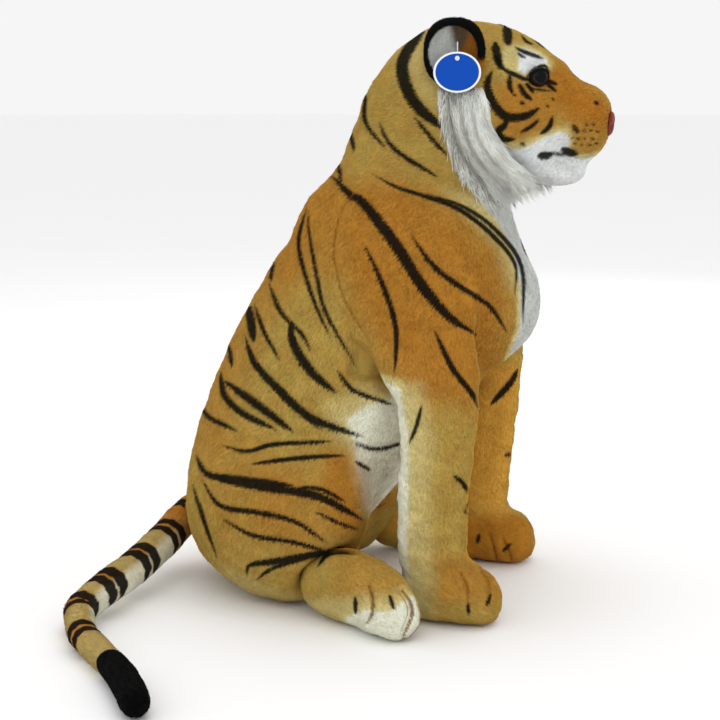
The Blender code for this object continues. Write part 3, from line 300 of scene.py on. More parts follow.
FOOT_PATCHES = (
    ("orange", 0.3, 12, ((330, 560), (365, 550), (412, 580), (412, 606), (372, 602), (340, 592))),
    ("cream", 0.7, 10, ((306, 600), (340, 600), (370, 594), (392, 596), (408, 584), (430, 576), (430, 660),
                        (306, 640))),
    # Toes in the brighter white: white fur with painted light
    ("belly", 1.0, 7, ((342, 616), (364, 607), (388, 609), (403, 598), (418, 588), (430, 590), (430, 660),
                       (342, 660))),
)
FOOT_INNER_PATCHES = (("amber", 0.8, 14, ((355, 455), (425, 455), (425, 535), (355, 535))),)
HEAD_PATCHES = (
    ("cream", 0.45, 16, ((395, 30), (425, 20), (430, 60), (440, 100), (425, 100), (402, 70))),
    ("orange", 0.85, 12, ((540, 58), (566, 64), (608, 98), (618, 118), (602, 130), (575, 120), (550, 102))),
    ("orange", 0.65, 10, ((494, 86), (522, 78), (548, 92), (562, 112), (545, 132), (515, 140), (498, 128))),
    ("orange", 0.45, 8, ((566, 108), (612, 112), (608, 146), (590, 156), (572, 148), (566, 130))),
    ("cream", 0.75, 6, ((484, 130), (494, 138), (516, 144), (531, 139), (545, 132), (568, 124), (573, 138),
                        (560, 150), (500, 170), (476, 160))),
    # Cheeks, mouth and chin in the brighter white: white fur with painted light
    ("muzzle", 1.0, 5, ((446, 80), (474, 88), (484, 112), (488, 140), (503, 146), (520, 147.5), (533, 142),
                       (545, 135), (558, 130.5), (567, 131), (571, 138), (571, 147), (573, 153), (582, 156),
                       (592, 155), (603, 151), (606, 190), (520, 215), (496, 212), (480, 198), (464, 174),
                       (452, 148), (445, 120))),
    ("cream", 0.8, 5, ((500, 50), (514, 44), (530, 47), (550, 58), (553, 70), (540, 68), (525, 80),
                       (503, 70))),
    # Brow patch in the brighter white: white fur with painted light
    ("muzzle", 1.0, 3.5, ((518, 47), (526, 48), (538, 52), (547, 58.5), (550, 67), (540, 66), (531, 71),
                         (526, 76), (517, 71), (518, 59))),
)
STRIPE_STRENGTH = 0.97

# Blotches of warmer tan: waves in turns per metre and their shifts
BLOTCH_WAVES = 2 * math.pi * np.array((
    (11.0, 7.0, 5.0), (-6.0, 9.0, 12.0), (19.0, -8.0, 13.0), (9.0, 14.0, -17.0)))
BLOTCH_SHIFTS = np.array((0.4, 1.7, 2.9, 4.4))
BLOTCH_STRENGTH = 0.20
# The filling's lumps and the cloth's faint creases
LUMP_HEIGHT = 0.0022
CREASE_WAVES = 2 * math.pi * np.array(((14.0, 10.0, 62.0), (23.0, -19.0, 9.0)))
CREASE_HEIGHT = 0.00028

# Bands along the tail: how far along it, and half the band's length
TAIL_BANDS = (
    (0.012, 0.0070), (0.060, 0.0086), (0.083, 0.0076), (0.139, 0.0100), (0.162, 0.0090),
    (0.2220, 0.0090), (0.2440, 0.0090), (0.2820, 0.0080), (0.3010, 0.0066), (0.3640, 0.0078),
    (0.3850, 0.0066),
)
TAIL_WARM = (0.020, 0.072, 0.150, 0.233, 0.292, 0.374)
TAIL_TIP_START = 0.4560
TAIL_PALE_FROM = 0.055
TAIL_SEAM_AT = 0.2100
# Reach of a warm ring, softness of a band's and of the tip's edge, and how far a band wanders
TAIL_WARM_REACH = 0.019
TAIL_BAND_SOFT = 0.0024
TAIL_TIP_SOFT = 0.003
TAIL_WANDER = 0.0009
# The tail's middle line, as the part lays it from its root: forward and out to the side as shares of its
# reach, its rise as a share of the root's, and its thickness as a share of the root's
TAIL_ROOT = np.array((-0.1224, 0.01214, 0.0700))
TAIL_REACH = 0.518
TAIL_RADIUS = 0.0215
TAIL_FLOOR_CUT = 0.0005
TAIL_PAST_TIP = 0.45
TAIL_SHARES = np.array((
    (0.000, 0.000, 1.000, 1.000), (-0.017, 0.039, 0.786, 1.000), (-0.023, 0.100, 0.582, 0.995),
    (-0.028, 0.216, 0.412, 0.990), (-0.035, 0.313, 0.286, 0.975), (-0.044, 0.417, 0.229, 0.945),
    (-0.055, 0.492, 0.127, 0.900), (-0.057, 0.550, 0.045, 0.850), (0.010, 0.674, 0.000, 0.790),
    (0.089, 0.766, 0.000, 0.750), (0.136, 0.819, 0.000, 0.745), (0.198, 0.902, 0.000, 0.775),
    (0.259, 1.000, 0.000, 0.765),
))

# Bands are a start and a width, and fall where the width is negative
CHEST_FRONT = (0.235, 0.04)
CHEST_TOP = (0.52, -0.03)
CHEST_WIDENING = 0.6
FACE_FRONT = (0.44, 0.04)
FACE_NORMAL = np.array((0.92, 0.0, 0.39))
MOUTH_FRONT = (0.29, 0.02)
CROWN_TO_FACE = (0.20, 0.10)
PAW_TOP = (0.10, -0.06)
INNER_SIDE = (0.25, -0.5)

# Where the neck's skin is cut into the body's and the head's: a tilted plane in the neck
NECK_CUT_NORMAL = (0.159, 0.0, 0.987)
NECK_CUT_PLACE = 0.4932
NOD_BAND = (0.430, 0.485)
TURN_NORMAL = (0.330, 0.0, 0.944)
TURN_BAND = (0.521, 0.560)
NECK_PAINT = (0.527, 0.541)

# The leg's skin takes over from the trunk's between these heights
LEG_STUB_BASE = 0.300
LEG_HANDOVER = (0.325, 0.360)
LEG_BLEND = (0.360, 0.280)
LEG_SINK = 0.006
LEG_PILE_TOP = LEG_HANDOVER[1] - 0.012
LEG_AXIS = (0.188, 0.112)
LEG_MIDDLE = 0.192
LEG_ZONE_OUTWARD = (0.088, 0.02)
LEG_ZONE_SIDEWAYS = (0.076, -0.022)
LEG_ZONE_TOP = (LEG_PILE_TOP, -0.045)
LEG_ZONE_BASE = (LEG_STUB_BASE - 0.03, 0.01)
SHOULDER_PLACE = np.array((0.195, -0.115, 0.415))
SHOULDER_REACH = (0.165, -0.05)
STUB_SINK = 0.010

# How far either side of a tail joint the band of its skin reaches, and the ball that closes the trunk at the
# tail's root
TAIL_JOINT_REACH = 0.020
TAIL_PLUG_FORWARD = 0.006
TAIL_PLUG_RADII = (0.020, 0.020, 0.0205)

# Cells of the fused feet, tail, nose and ruffs, and rounds of relaxing
FOOT_VOXEL = 0.0036
TAIL_VOXEL = 0.0034
NOSE_VOXEL = 0.0011
RUFF_VOXEL = 0.003
TRUNK_ROUNDS = 26
SHOULDER_ROUNDS = 90
LEG_ROUNDS = 16
FOOT_ROUNDS = 14
TAIL_ROUNDS = 14
RUFF_ROUNDS = 12
NOSE_ROUNDS = 8

# How lumpy the limbs are against the trunk
LEG_LUMPS = 1.0
FOOT_LUMPS = 0.6
TAIL_LUMPS = 0.5

# Pile: where it parts on the face, the lowest a tuft goes, where a skin stays bare, how wide tufts are, how
# far they rise off the skin, and how far they stand apart where the panel doesn't say it
PILE_PARTS_AT = (0.400, 0.0, 0.565)
PILE_FLOOR = 0.0003
PILE_BARE_BELOW = 0.0015
TRUNK_TUFT = {"width": 0.0013, "lean": 0.30}
LIMB_TUFT = {"width": 0.0012, "lean": 0.28}
HEAD_TUFT = {"width": 0.0010, "lean": 0.28, "spacing": 0.00192}
EAR_TUFT = {"width": 0.0010, "lean": 0.35, "spacing": 0.0014, "length": 0.0042, "wild": 0.4}
# Tufts of the legs and tail, and of the feet, as shares of the trunk's length
LEG_TUFT_SHARE = 0.9
FOOT_TUFT_SHARE = 0.85
# A tuft's tint at its two base corners, its ridge and its tip, as shares of the skin's: painted shade at the
# base, painted light at the tip
TUFT_ROOT_SHADE_TIP_LIGHT = (0.80, 0.80, 0.92, 1.12)

# Places pressed in or raised on the face: centre, radius, rise
FACE_PUSHES = (
    ((0.322, -0.060, 0.610), 0.013, -0.0040), ((0.312, -0.058, 0.632), 0.014, 0.0035),
    ((0.304, -0.078, 0.560), 0.024, 0.0030), ((0.352, -0.030, 0.598), 0.012, -0.0020),
    ((0.366, -0.034, 0.548), 0.015, 0.0025), ((0.340, -0.018, 0.626), 0.013, 0.0035),
)
TRUNK_PUSHES = (((0.040, 0.0, 0.455), 0.045, -0.005), ((0.318, 0.0, 0.335), 0.050, 0.005))
# Nostrils: how far behind the nose's front and to the side, radius, depth
NOSTRILS = ((0.001, 0.0095, 0.0038, -0.0035), (0.003, 0.0150, 0.0032, -0.0025))
NOSTRIL_DROP = 0.004

# Eyes: the dome on the head, and the lid's almond ring
EYE_PLACE = (0.322, -0.060, 0.610)
EYE_LOOK = (0.38, -0.62, 0.10)
EYE_RADIUS = 0.0105
EYE_DOME = 0.0062
EYE_PUPIL_SHARE = 0.68
EYE_BACK = ((0.4, -0.003), (0.8, -0.003), (0.98, -0.0015))
EYE_RINGS = 13
EYE_SIDES = 40
LID_TILT = math.radians(14.0)
LID_REACH = (0.0109, 0.0076)
LID_THICKNESS = 0.0016
# How much thicker the lid is over the eye, and its lift off the eye: least, and more above and below
LID_SWELL = 0.45
LID_LEVEL = (0.0004, 0.0030)
LID_AROUND = 48
LID_SIDES = 12

# Ears
EAR_FORWARD = 0.003
EAR_ORIGIN = JOINTS["right_ear_fold"] + (EAR_FORWARD, 0.0, 0.0)
EAR_TURN = math.radians(10.8)
EAR_LEAN = math.radians(10.8)
EAR_WIDTH = 0.066
EAR_HEIGHT = 0.067
EAR_MIDDLE = 0.44 * EAR_HEIGHT
EAR_SIDES = 56
# Bands of the ear's paint in halves of its width and height: the lining's shadow and warm front, the root,
# the rim and the spot behind
EAR_SHADOW_BAND = (-0.12, 0.35)
EAR_WARM_BAND = (0.05, 0.35)
EAR_ROOT_FRONT = (0.35, 0.2)
EAR_ROOT_TOP = (-0.12, -0.2)
EAR_RIM_BAND = (0.84, -0.06)
EAR_SPOT_BAND = (0.62, -0.22)
# From the dish's middle over the rim to the middle of the back: share of the outline, share of the dish,
# and metres
EAR_PROFILE = (
    (0.04, -0.75, 0.0), (0.20, -0.73, 0.0), (0.36, -0.66, 0.0), (0.52, -0.52, 0.0), (0.66, -0.28, 0.0),
    (0.76, 0.02, 0.001), (0.83, 0.20, 0.0028), (0.89, 0.24, 0.0040), (0.95, 0.22, 0.0036),
    (0.99, 0.12, 0.0016), (1.00, 0.0, -0.0010), (0.985, -0.14, -0.0030), (0.93, -0.36, -0.0045),
    (0.82, -0.60, -0.0050), (0.66, -0.80, -0.0050), (0.48, -0.92, -0.0050), (0.28, -0.98, -0.0050),
    (0.06, -1.0, -0.0050),
)

# The grid that the ruff's strands lie on, how strands gather into locks, and their pad
RUFF_ROWS = 36
RUFF_COLUMNS = 22
RUFF_DEEPEST = -0.018
RUFF_LOCKS = 150
RUFF_GATHER = 0.75
RUFF_PAD_SINK = 0.0035
RUFF_FULL_LENGTH = 0.155
RUFF_SMOOTHING = 6
# How strong its streaks of painted shade are, and how many strands are dark and by how much
RUFF_SHADE_STRENGTH = 0.62
RUFF_DARK_SHARE = 0.22
RUFF_DARK_TINT = (0.5, 0.46, 0.4)
# Each layer's name, strands, steps along one, shortest and longest as shares of the ruff, rise, width
RUFF_LAYERS = (
    ("underfur", 4200, 3, 0.25, 0.80, 0.0045, 0.0013),
    ("fur", 5400, 4, 0.55, 1.25, 0.0068, 0.0009),
)

# Half the tag card's length and height, and the printed face's share of its oval
TAG_HALF = (0.026, 1.0, 0.022)
TAG_BORDER = 0.91

# The stage
FLOOR_SIDES = 64
FLOOR_RADIUS = 30.0
FLOOR_CENTRE = (0.1, 0.0, -0.0008)
SKY_STRENGTH = 0.92
LIGHT_TARGET = (0.10, 0.0, 0.30)
# Each softbox's name, place, size and power
SOFTBOXES = (
    ("key_softbox", (1.0, -2.6, 2.4), 1.8, 12.0), ("fill_softbox", (-2.2, -1.6, 1.4), 2.0, 3.0),
    ("top_softbox", (0.1, 0.4, 3.0), 2.4, 14.5), ("back_softbox", (0.6, 2.8, 1.6), 2.0, 7.0),
)

# Skins that later pieces lie on, as corners and faces
SKINS = {}


def shade(red, green, blue):
    """A display colour of 0 to 255 a channel as linear light."""
    value = np.array((red, green, blue)) / 255.0
    linear = np.where(value > 0.04045, ((value + 0.055) / 1.055) ** 2.4, value / 12.92)
    return tuple(linear.tolist())


RUFF_SHADOW = np.array(shade(88, 80, 66))
EAR_SHADOW = np.array(shade(84, 60, 34))


def colour_of(name, description, *value):
    """A colour property from display values of 0 to 255 a channel."""
    return FloatVectorProperty(
        name=name, description=description, subtype="COLOR", size=3, default=shade(*value), min=0, max=1)


def length_of(name, description, default, low, high):
    """A length property in metres."""
    return FloatProperty(
        name=name, description=description, unit="LENGTH", default=default, min=low, max=high)


class TigerColours(bpy.types.PropertyGroup):
    """The colours of the plush, the face and the tag."""

    tan: colour_of("Tan", "Golden tan of the back and flanks", 182, 153, 76)
    orange: colour_of("Orange", "Richer orange of the shoulders, thighs and cheeks", 178, 112, 30)
    amber: colour_of("Amber", "Bright orange of the far leg's inner face and the far foot", 220, 160, 62)
    cream: colour_of("Cream", "Pale yellow where tan fades into white", 216, 200, 136)
    white: colour_of("White", "White of the chest, the ruffs and the ears", 212, 214, 208)
    # The belly colour is the white made brighter: white fur with painted light on the belly, the legs' backs,
    # the toes and the tail's pale side
    belly: colour_of("Belly", "Warm white of the belly, the legs' backs and the toes", 242, 242, 218)
    # The muzzle colour is the white made brighter: white fur with painted light on the cheeks, mouth, chin
    # and brows
    muzzle: colour_of("Muzzle", "Brighter cool white of the cheeks, mouth and chin", 236, 239, 238)
    stripe: colour_of("Stripe", "Near black of the stripes, ear rims and tail tip", 14, 16, 14)
    nose: colour_of("Nose", "Dull red of the nose pad", 118, 34, 26)
    tag: colour_of("Tag", "Blue of the hang tag's face", 4, 74, 178)


class TigerSizes(bpy.types.PropertyGroup):
    """The fineness of the skins and the lengths of the pile."""

    skin_voxel: length_of("Skin Voxel", "Cell of the fused trunk, later halved", 0.0048, 0.003, 0.01)
    limb_voxel: length_of("Limb Voxel", "Cell of the front legs, later halved", 0.0042, 0.002, 0.01)
    pile_length: length_of("Pile Length", "Length of a tuft on the trunk", 0.0040, 0.001, 0.02)
    face_pile_length: length_of("Face Pile Length", "Length of a tuft on the face", 0.0031, 0.001, 0.02)
    pile_spacing: length_of("Pile Spacing", "Distance from tuft to tuft on the trunk", 0.00235, 0.001, 0.02)
    limb_pile_spacing: length_of(
        "Limb Pile Spacing", "Distance from tuft to tuft on legs, feet and tail", 0.0022, 0.001, 0.02)
    ruff_length: length_of("Ruff Length", "Longest strands of the cheek ruffs", 0.046, 0.01, 0.08)
    ear_dish: length_of("Ear Dish", "Depth of the ear's dish behind its rim", 0.012, 0.002, 0.02)


def project(points):
    """Pixels of the photograph: each point's offsets right and up, over its distance ahead."""
    offset = points - CAMERA_PLACE
    ahead = offset @ CAMERA_FORWARD
    across = IMAGE_SIDE / 2 + FOCAL_PIXELS * (offset @ CAMERA_RIGHT) / ahead
    down = IMAGE_SIDE / 2 - FOCAL_PIXELS * (offset @ CAMERA_UP) / ahead
    return np.stack((across, down), axis=1)


def ramped(value, start, width):
    """A smooth rise from 0 at the start to 1 a width further on: three squares less two cubes."""
    held = np.clip((value - start) / width, 0.0, 1.0)
    return held * held * (3.0 - 2.0 * held)


def smooth_step(value):
    """A smooth rise from 0 at 0 to 1 at 1."""
    return ramped(value, 0.0, 1.0)


def near_side(points):
    """Points of the left side go to their mirror image on the right side.

    On the chest they go nearer the middle than that, so the left side's marks stand wider apart.
    """
    mirror = points.copy()
    chest = ramped(points[:, 0], *CHEST_FRONT) * ramped(points[:, 2], *CHEST_TOP)
    wider = CHEST_WIDENING * chest * (points[:, 1] > 0)
    mirror[:, 1] = -np.abs(points[:, 1]) * (1.0 - wider)
    return mirror


def unit(vectors):
    """Each row over its own length."""
    return vectors / np.maximum(np.linalg.norm(vectors, axis=-1, keepdims=True), 1e-12)


def turns(count):
    """Angles round a full turn in equal steps."""
    return np.arange(count) * 2 * math.pi / count


def mesh_object(name, verts, faces):
    """A mesh object from rows of corners; a row that ends in -1 is a triangle."""
    mesh = bpy.data.meshes.new(name)
    used = faces >= 0
    counts = used.sum(axis=1)
    mesh.vertices.add(len(verts))
    mesh.vertices.foreach_set("co", np.ascontiguousarray(verts, dtype=np.float32).ravel())
    mesh.loops.add(int(counts.sum()))
    mesh.loops.foreach_set("vertex_index", faces[used].astype(np.int32))
    mesh.polygons.add(len(faces))
    mesh.polygons.foreach_set("loop_start", (np.cumsum(counts) - counts).astype(np.int32))
    mesh.update(calc_edges=True)
    mesh.validate()
    mesh.shade_smooth()
    obj = bpy.data.objects.new(name, mesh)
    bpy.context.scene.collection.objects.link(obj)
    return obj


def values_of(items, field, width=1, kind=np.int32):
    """One field of every item of a collection, as a flat array."""
    values = np.empty(len(items) * width, dtype=kind)
    items.foreach_get(field, values)
    return values


def mesh_arrays(mesh):
    """Corners and faces of a mesh whose faces have three or four corners."""
    verts = values_of(mesh.vertices, "co", 3, np.float32)
    starts = values_of(mesh.polygons, "loop_start")
    totals = values_of(mesh.polygons, "loop_total")
    corners = np.append(values_of(mesh.loops, "vertex_index"), np.int32(-1))
    place = starts[:, None] + np.arange(4)
    faces = np.where(np.arange(4) < totals[:, None], corners[np.minimum(place, len(corners) - 1)], -1)
    return verts.reshape(-1, 3).astype(np.float64), faces


def spent(source):
    """Takes away a working object with its mesh."""
    data = source.data
    bpy.data.objects.remove(source)
    bpy.data.meshes.remove(data)


def worked(verts, faces, kind, **settings):
    """The arrays that one modifier makes of a form."""
    source = mesh_object("working_form", verts, faces)
    modifier = source.modifiers.new(kind.title(), kind)
    for key, value in settings.items():
        setattr(modifier, key, value)
    shape = source.evaluated_get(bpy.context.evaluated_depsgraph_get())
    result = mesh_arrays(shape.to_mesh())
    shape.to_mesh_clear()
    spent(source)
    return result


def node_form(name):
    """A merged copy of a frame node: equal corners become one."""
    mesh = frame["nodes"][name].data
    verts = values_of(mesh.vertices, "co", 3, np.float64)
    mesh.calc_loop_triangles()
    triangles = values_of(mesh.loop_triangles, "vertices", 3)
    merged, index = np.unique(np.round(verts.reshape(-1, 3), 6), axis=0, return_inverse=True)
    faces = index.ravel()[triangles].reshape(-1, 3)
    return merged, np.hstack((faces, np.full((len(faces), 1), -1)))


def together(forms):
    """Several forms as one list of corners and one of faces."""
    verts = np.vstack([form[0] for form in forms])
    shifts = np.cumsum([0] + [len(form[0]) for form in forms[:-1]])
    faces = np.vstack([np.where(form[1] >= 0, form[1] + shift, -1) for form, shift in zip(forms, shifts)])
    return verts, faces


def ring_walls(count, sides, closed=False):
    """Four-sided faces between rings of points; where closed, the last ring meets the first."""
    ring = np.arange(count if closed else count - 1)[:, None] * sides
    following = (ring + sides) % (count * sides)
    side = np.arange(sides)[None, :]
    after = (side + 1) % sides
    walls = np.stack((ring + side, ring + after, following + after, following + side), axis=-1)
    return walls.reshape(-1, 4)


def ring_form(rings):
    """A closed form from rings of points: four-sided faces between rings, and a fan at each end."""
    count, sides = rings.shape[:2]
    verts = np.vstack((rings.reshape(-1, 3), rings[0].mean(axis=0), rings[-1].mean(axis=0)))
    first = np.arange(sides)
    following = (first + 1) % sides
    top = (count - 1) * sides
    none = np.full(sides, -1)
    low = np.stack((following, first, np.full(sides, count * sides), none), axis=-1)
    high = np.stack((top + first, top + following, np.full(sides, count * sides + 1), none), axis=-1)
    return verts, np.vstack((ring_walls(count, sides), low, high))


def ball_form(centre, radii, rings=14, sides=28):
    """An ellipsoid: rings by the sine of the angle from its pole, heights by the cosine."""
    slope = (np.arange(rings) + 0.5) * math.pi / rings
    turn = turns(sides)
    across = np.sin(slope)[:, None] * np.cos(turn)
    along = np.sin(slope)[:, None] * np.sin(turn)
    height = np.broadcast_to(-np.cos(slope)[:, None], across.shape)
    return ring_form(np.stack((across, along, height), axis=-1) * np.array(radii) + np.array(centre))


def edges_of(faces):
    """Every side of every face once, as pairs of corners."""
    used = faces >= 0
    counts = used.sum(axis=1)
    column = np.arange(faces.shape[1])
    following = np.where(column[None, :] + 1 < counts[:, None], column[None, :] + 1, 0)
    pairs = np.stack((faces, np.take_along_axis(faces, following, axis=1)), axis=-1)[used]
    return np.unique(np.sort(pairs, axis=1), axis=0)


def outer_part(verts, faces):
    """The largest connected part, so pockets inside a fused form are dropped."""
    edges = edges_of(faces)
    label = np.arange(len(verts))
    while True:
        lowest = np.minimum(label[edges[:, 0]], label[edges[:, 1]])
        fresh = label.copy()
        np.minimum.at(fresh, edges[:, 0], lowest)
        np.minimum.at(fresh, edges[:, 1], lowest)
        fresh = fresh[fresh]
        if np.array_equal(fresh, label):
            break
        label = fresh
    names, counts = np.unique(label, return_counts=True)
    keep = label == names[counts.argmax()]
    place = np.cumsum(keep) - 1
    kept = faces[keep[faces[:, 0]]]
    return verts[keep], np.where(kept >= 0, place[kept], -1)


def relaxed(verts, edges, rounds, share=0.5, weight=None):
    """Each corner goes a share of the way to the mean of its neighbours, for some rounds."""
    verts = verts.copy()
    count = len(verts)
    number = np.maximum(np.bincount(edges.ravel(), minlength=count), 1)[:, None]
    pull = share if weight is None else share * weight[:, None]
    for _ in range(rounds):
        total = np.stack([
            np.bincount(edges[:, 0], verts[edges[:, 1], axis], count)
            + np.bincount(edges[:, 1], verts[edges[:, 0], axis], count)
            for axis in range(3)
        ], axis=1)
        verts += pull * (total / number - verts)
    return verts


def normals_of(verts, faces):
    """Each corner's mean face normal, weighted by area: a face's is the product of its diagonals.

    A triangle's second diagonal is its side from the second corner to the third.
    """
    last = np.where(faces[:, 3] >= 0, faces[:, 3], faces[:, 2])
    crossed = np.cross(verts[faces[:, 2]] - verts[faces[:, 0]], verts[last] - verts[faces[:, 1]])
    total = np.zeros((len(verts), 3))
    for column in range(4):
        used = faces[:, column] >= 0
        for axis in range(3):
            total[:, axis] += np.bincount(faces[used, column], crossed[used, axis], len(verts))
    return unit(total)


def fused(forms, voxel):
    """Forms fused into one skin by a voxel remesh, with its inner pockets dropped."""
    verts, faces = worked(*together(forms), "REMESH", mode="VOXEL", voxel_size=voxel, adaptivity=0.0)
    return outer_part(verts, faces)


def finer(verts, faces):
    """One round of Catmull-Clark subdivision."""
    return worked(verts, faces, "SUBSURF", levels=1, render_levels=1)


def cut_along(verts, faces, normal, place, keep_below):
    """The part of a form on one side of a plane, closed over the cut."""
    source = mesh_object("cut_form", verts, faces)
    shape = bmesh.new()
    shape.from_mesh(source.data)
    direction = Vector(normal).normalized()
    bmesh.ops.bisect_plane(
        shape, geom=shape.verts[:] + shape.edges[:] + shape.faces[:], dist=1e-6,
        plane_co=direction * place, plane_no=direction, clear_outer=keep_below, clear_inner=not keep_below)
    rim = [edge for edge in shape.edges if edge.is_boundary]
    caps = bmesh.ops.holes_fill(shape, edges=rim, sides=0)["faces"]
    bmesh.ops.triangulate(shape, faces=caps)
    bmesh.ops.triangulate(shape, faces=[face for face in shape.faces if len(face.verts) > 4])
    shape.to_mesh(source.data)
    shape.free()
    result = mesh_arrays(source.data)
    spent(source)
    return result


def open_faces(verts, faces, normal, place):
    """The faces that don't close a cut: those with a corner off the cut's plane."""
    off = np.abs(verts @ unit(np.array(normal, dtype=float)) - place) > 2e-5
    return faces[(off[faces] & (faces >= 0)).any(axis=1)]


def pushed(verts, normals, centre, radius, rise):
    """Corners near a place or its mirror image move along their normals by a bell curve of distance."""
    flipped = verts * (1.0, -1.0, 1.0)
    nearest = np.minimum(
        np.linalg.norm(verts - centre, axis=1), np.linalg.norm(flipped - centre, axis=1))
    return verts + normals * (rise * np.exp(-(nearest / radius) ** 2))[:, None]


def line_run(line):
    """How far along a line each of its points is."""
    return np.concatenate(([0.0], np.cumsum(np.linalg.norm(np.diff(line, axis=0), axis=1))))


def stroke_line(points, steps=5):
    """A smooth line through the stroke's pixels: a Catmull-Rom curve, and how far along each point is."""
    ends = np.vstack((2 * points[0] - points[1], points, 2 * points[-1] - points[-2]))
    share = np.linspace(0.0, 1.0, steps, endpoint=False)[:, None]
    pieces = []
    for before, start, finish, after in zip(ends[:-3], ends[1:-2], ends[2:-1], ends[3:]):
        bend = (2 * before - 5 * start + 4 * finish - after) * share ** 2
        twist = (3 * start - before - 3 * finish + after) * share ** 3
        pieces.append(0.5 * (2 * start + (finish - before) * share + bend + twist))
    line = np.vstack(pieces + [points[-1:]])
    run = line_run(line)
    return line, run / run[-1]


def to_segments(spots, start, step):
    """For each spot and segment, the share along it of its place nearest the spot, and the distance."""
    offset = spots[:, None] - start
    share = np.clip((offset * step).sum(-1) / np.maximum((step ** 2).sum(-1), 1e-9), 0, 1)
    return share, np.linalg.norm(offset - share[..., None] * step, axis=-1)


def stroke_cover(pixels, strokes, soft=1.1, blunt=0.0):
    """How far each pixel is inside the strokes: each is as wide as its taper says, with a soft edge."""
    cover = np.zeros(len(pixels))
    for width, *points in strokes:
        line, along = stroke_line(np.array(points, dtype=float))
        reach = 0.5 * width + soft + 1.0
        near = np.all((pixels > line.min(axis=0) - reach) & (pixels < line.max(axis=0) + reach), axis=1)
        if not near.any():
            continue
        share, away = to_segments(pixels[near], line[:-1], np.diff(line, axis=0))
        place = along[:-1] + share * np.diff(along)
        taper = np.maximum((1.0 - np.abs(2.0 * place - 1.0) ** 3.0) ** 0.75, blunt)
        depth = (0.5 * width * taper - away).max(axis=1)
        cover[near] = np.maximum(cover[near], smooth_step(0.5 + depth / (2.0 * soft)))
    return cover


def patch_cover(pixels, outline, soft):
    """How far each pixel is inside an outline: its distance from the nearest side, inside positive."""
    corners = np.array(outline, dtype=float)
    cover = np.zeros(len(pixels))
    near = np.all((pixels > corners.min(axis=0) - soft) & (pixels < corners.max(axis=0) + soft), axis=1)
    if not near.any():
        return cover
    step = np.roll(corners, -1, axis=0) - corners
    away = to_segments(pixels[near], corners, step)[1].min(axis=1)
    across, level = pixels[near, :1], pixels[near, 1:]
    rises = (corners[:, 1] > level) != (corners[:, 1] + step[:, 1] > level)
    slope = np.where(np.abs(step[:, 1]) > 1e-9, step[:, 1], 1e-9)
    meets = corners[:, 0] + step[:, 0] * (level - corners[:, 1]) / slope
    inside = (rises & (across < meets)).sum(axis=1) % 2 == 1
    cover[near] = smooth_step(0.5 + np.where(inside, away, -away) / (2.0 * soft))
    return cover


def palette():
    """The colours of the panel as arrays."""
    colours = bpy.context.scene.plush_tiger_colours
    return {name: np.array(getattr(colours, name)) for name in TigerColours.__annotations__}


def laid(tint, colour, cover):
    """A colour laid over a tint where it covers."""
    return tint + cover[:, None] * (colour - tint)


def airbrushed(tint, name, cover):
    """A patch sprayed on: white comes over a fringe of cream, so tan fades to white through yellow."""
    colours = palette()
    if name not in ("white", "belly", "muzzle"):
        return laid(tint, colours[name], cover)
    tint = laid(tint, colours["cream"], smooth_step(2.0 * cover))
    return laid(tint, colours[name], smooth_step(2.0 * cover - 1.0))


def blotches(points):
    """Soft blotches a few centimetres wide, from 0 to 1: two products of slanted waves, added."""
    waves = np.sin(points @ BLOTCH_WAVES.T + BLOTCH_SHIFTS)
    return smooth_step(0.5 + 0.35 * (waves[:, 0] * waves[:, 1] + waves[:, 2] * waves[:, 3]))


def lumpy(verts, faces, share=1.0):
    """A stuffed form with shallow lumps some centimetres wide and faint creases a centimetre apart."""
    normals = normals_of(verts, faces)
    creases = np.sin(verts @ CREASE_WAVES[0] + 2.0 * np.sin(verts @ CREASE_WAVES[1]))
    rise = LUMP_HEIGHT * (blotches(verts) - 0.5) + CREASE_HEIGHT * creases
    lumped = verts + normals * (share * rise)[:, None]
    lumped[:, 2] = np.maximum(lumped[:, 2], 0.0)
    return lumped


def marked(tint, pixels, patches, strokes):
    """A tint under sprayed patches, and stripes over them."""
    for name, strength, soft, outline in patches:
        tint = airbrushed(tint, name, strength * patch_cover(pixels, outline, soft))
    return laid(tint, palette()["stripe"], STRIPE_STRENGTH * stroke_cover(pixels, strokes))


def painted(points, normals, patches, strokes, inner_patches=(), inner_strokes=()):
    """The plush's colour at each point.

    A point's pixel is that of its mirror image on the tiger's right side. On a leg or foot, the side that
    faces the other leg takes its marks from the pixels of the left limb's inner face instead.
    """
    colours = palette()
    mirror = near_side(points)
    tan = np.broadcast_to(colours["tan"], points.shape)
    tint = laid(tan, colours["orange"], BLOTCH_STRENGTH * blotches(mirror))
    tint = marked(tint, project(mirror), patches, strokes)
    if inner_patches:
        mirror[:, 1] = np.abs(points[:, 1])
        under = marked(tan, project(mirror), inner_patches, inner_strokes)
        outward = normals[:, 1] * np.sign(points[:, 1])
        tint = tint + ramped(outward, *INNER_SIDE)[:, None] * (under - tint)
    return tint


def seamed(points, tint, seams, strength):
    """A tint darkened along sewn seams: painted shade in their grooves."""
    cover = stroke_cover(project(near_side(points)), seams, soft=0.8, blunt=0.6)
    return laid(tint, palette()["orange"] * SEAM_SHADE, strength * cover)


def paint_trunk(points, normals):
    """Back, flanks, belly, chest, neck and thighs."""
    tint = painted(points, normals, TRUNK_PATCHES, TRUNK_STROKES)
    return seamed(points, tint, SHOULDER_SEAM, 0.75)


def paint_leg(points, normals):
    """A front leg and its paw."""
    tint = painted(points, normals, LEG_PATCHES, LEG_STROKES, LEG_INNER_PATCHES, LEG_INNER_STROKES)
    return seamed(points, tint, SHOULDER_SEAM + PAW_SEAMS, 0.5)


def paint_foot(points, normals):
    """A hind foot, with its toe seams."""
    tint = painted(points, normals, FOOT_PATCHES, FOOT_STROKES, FOOT_INNER_PATCHES, FOOT_INNER_STROKES)
    return seamed(points, tint, FOOT_SEAMS, 0.85)


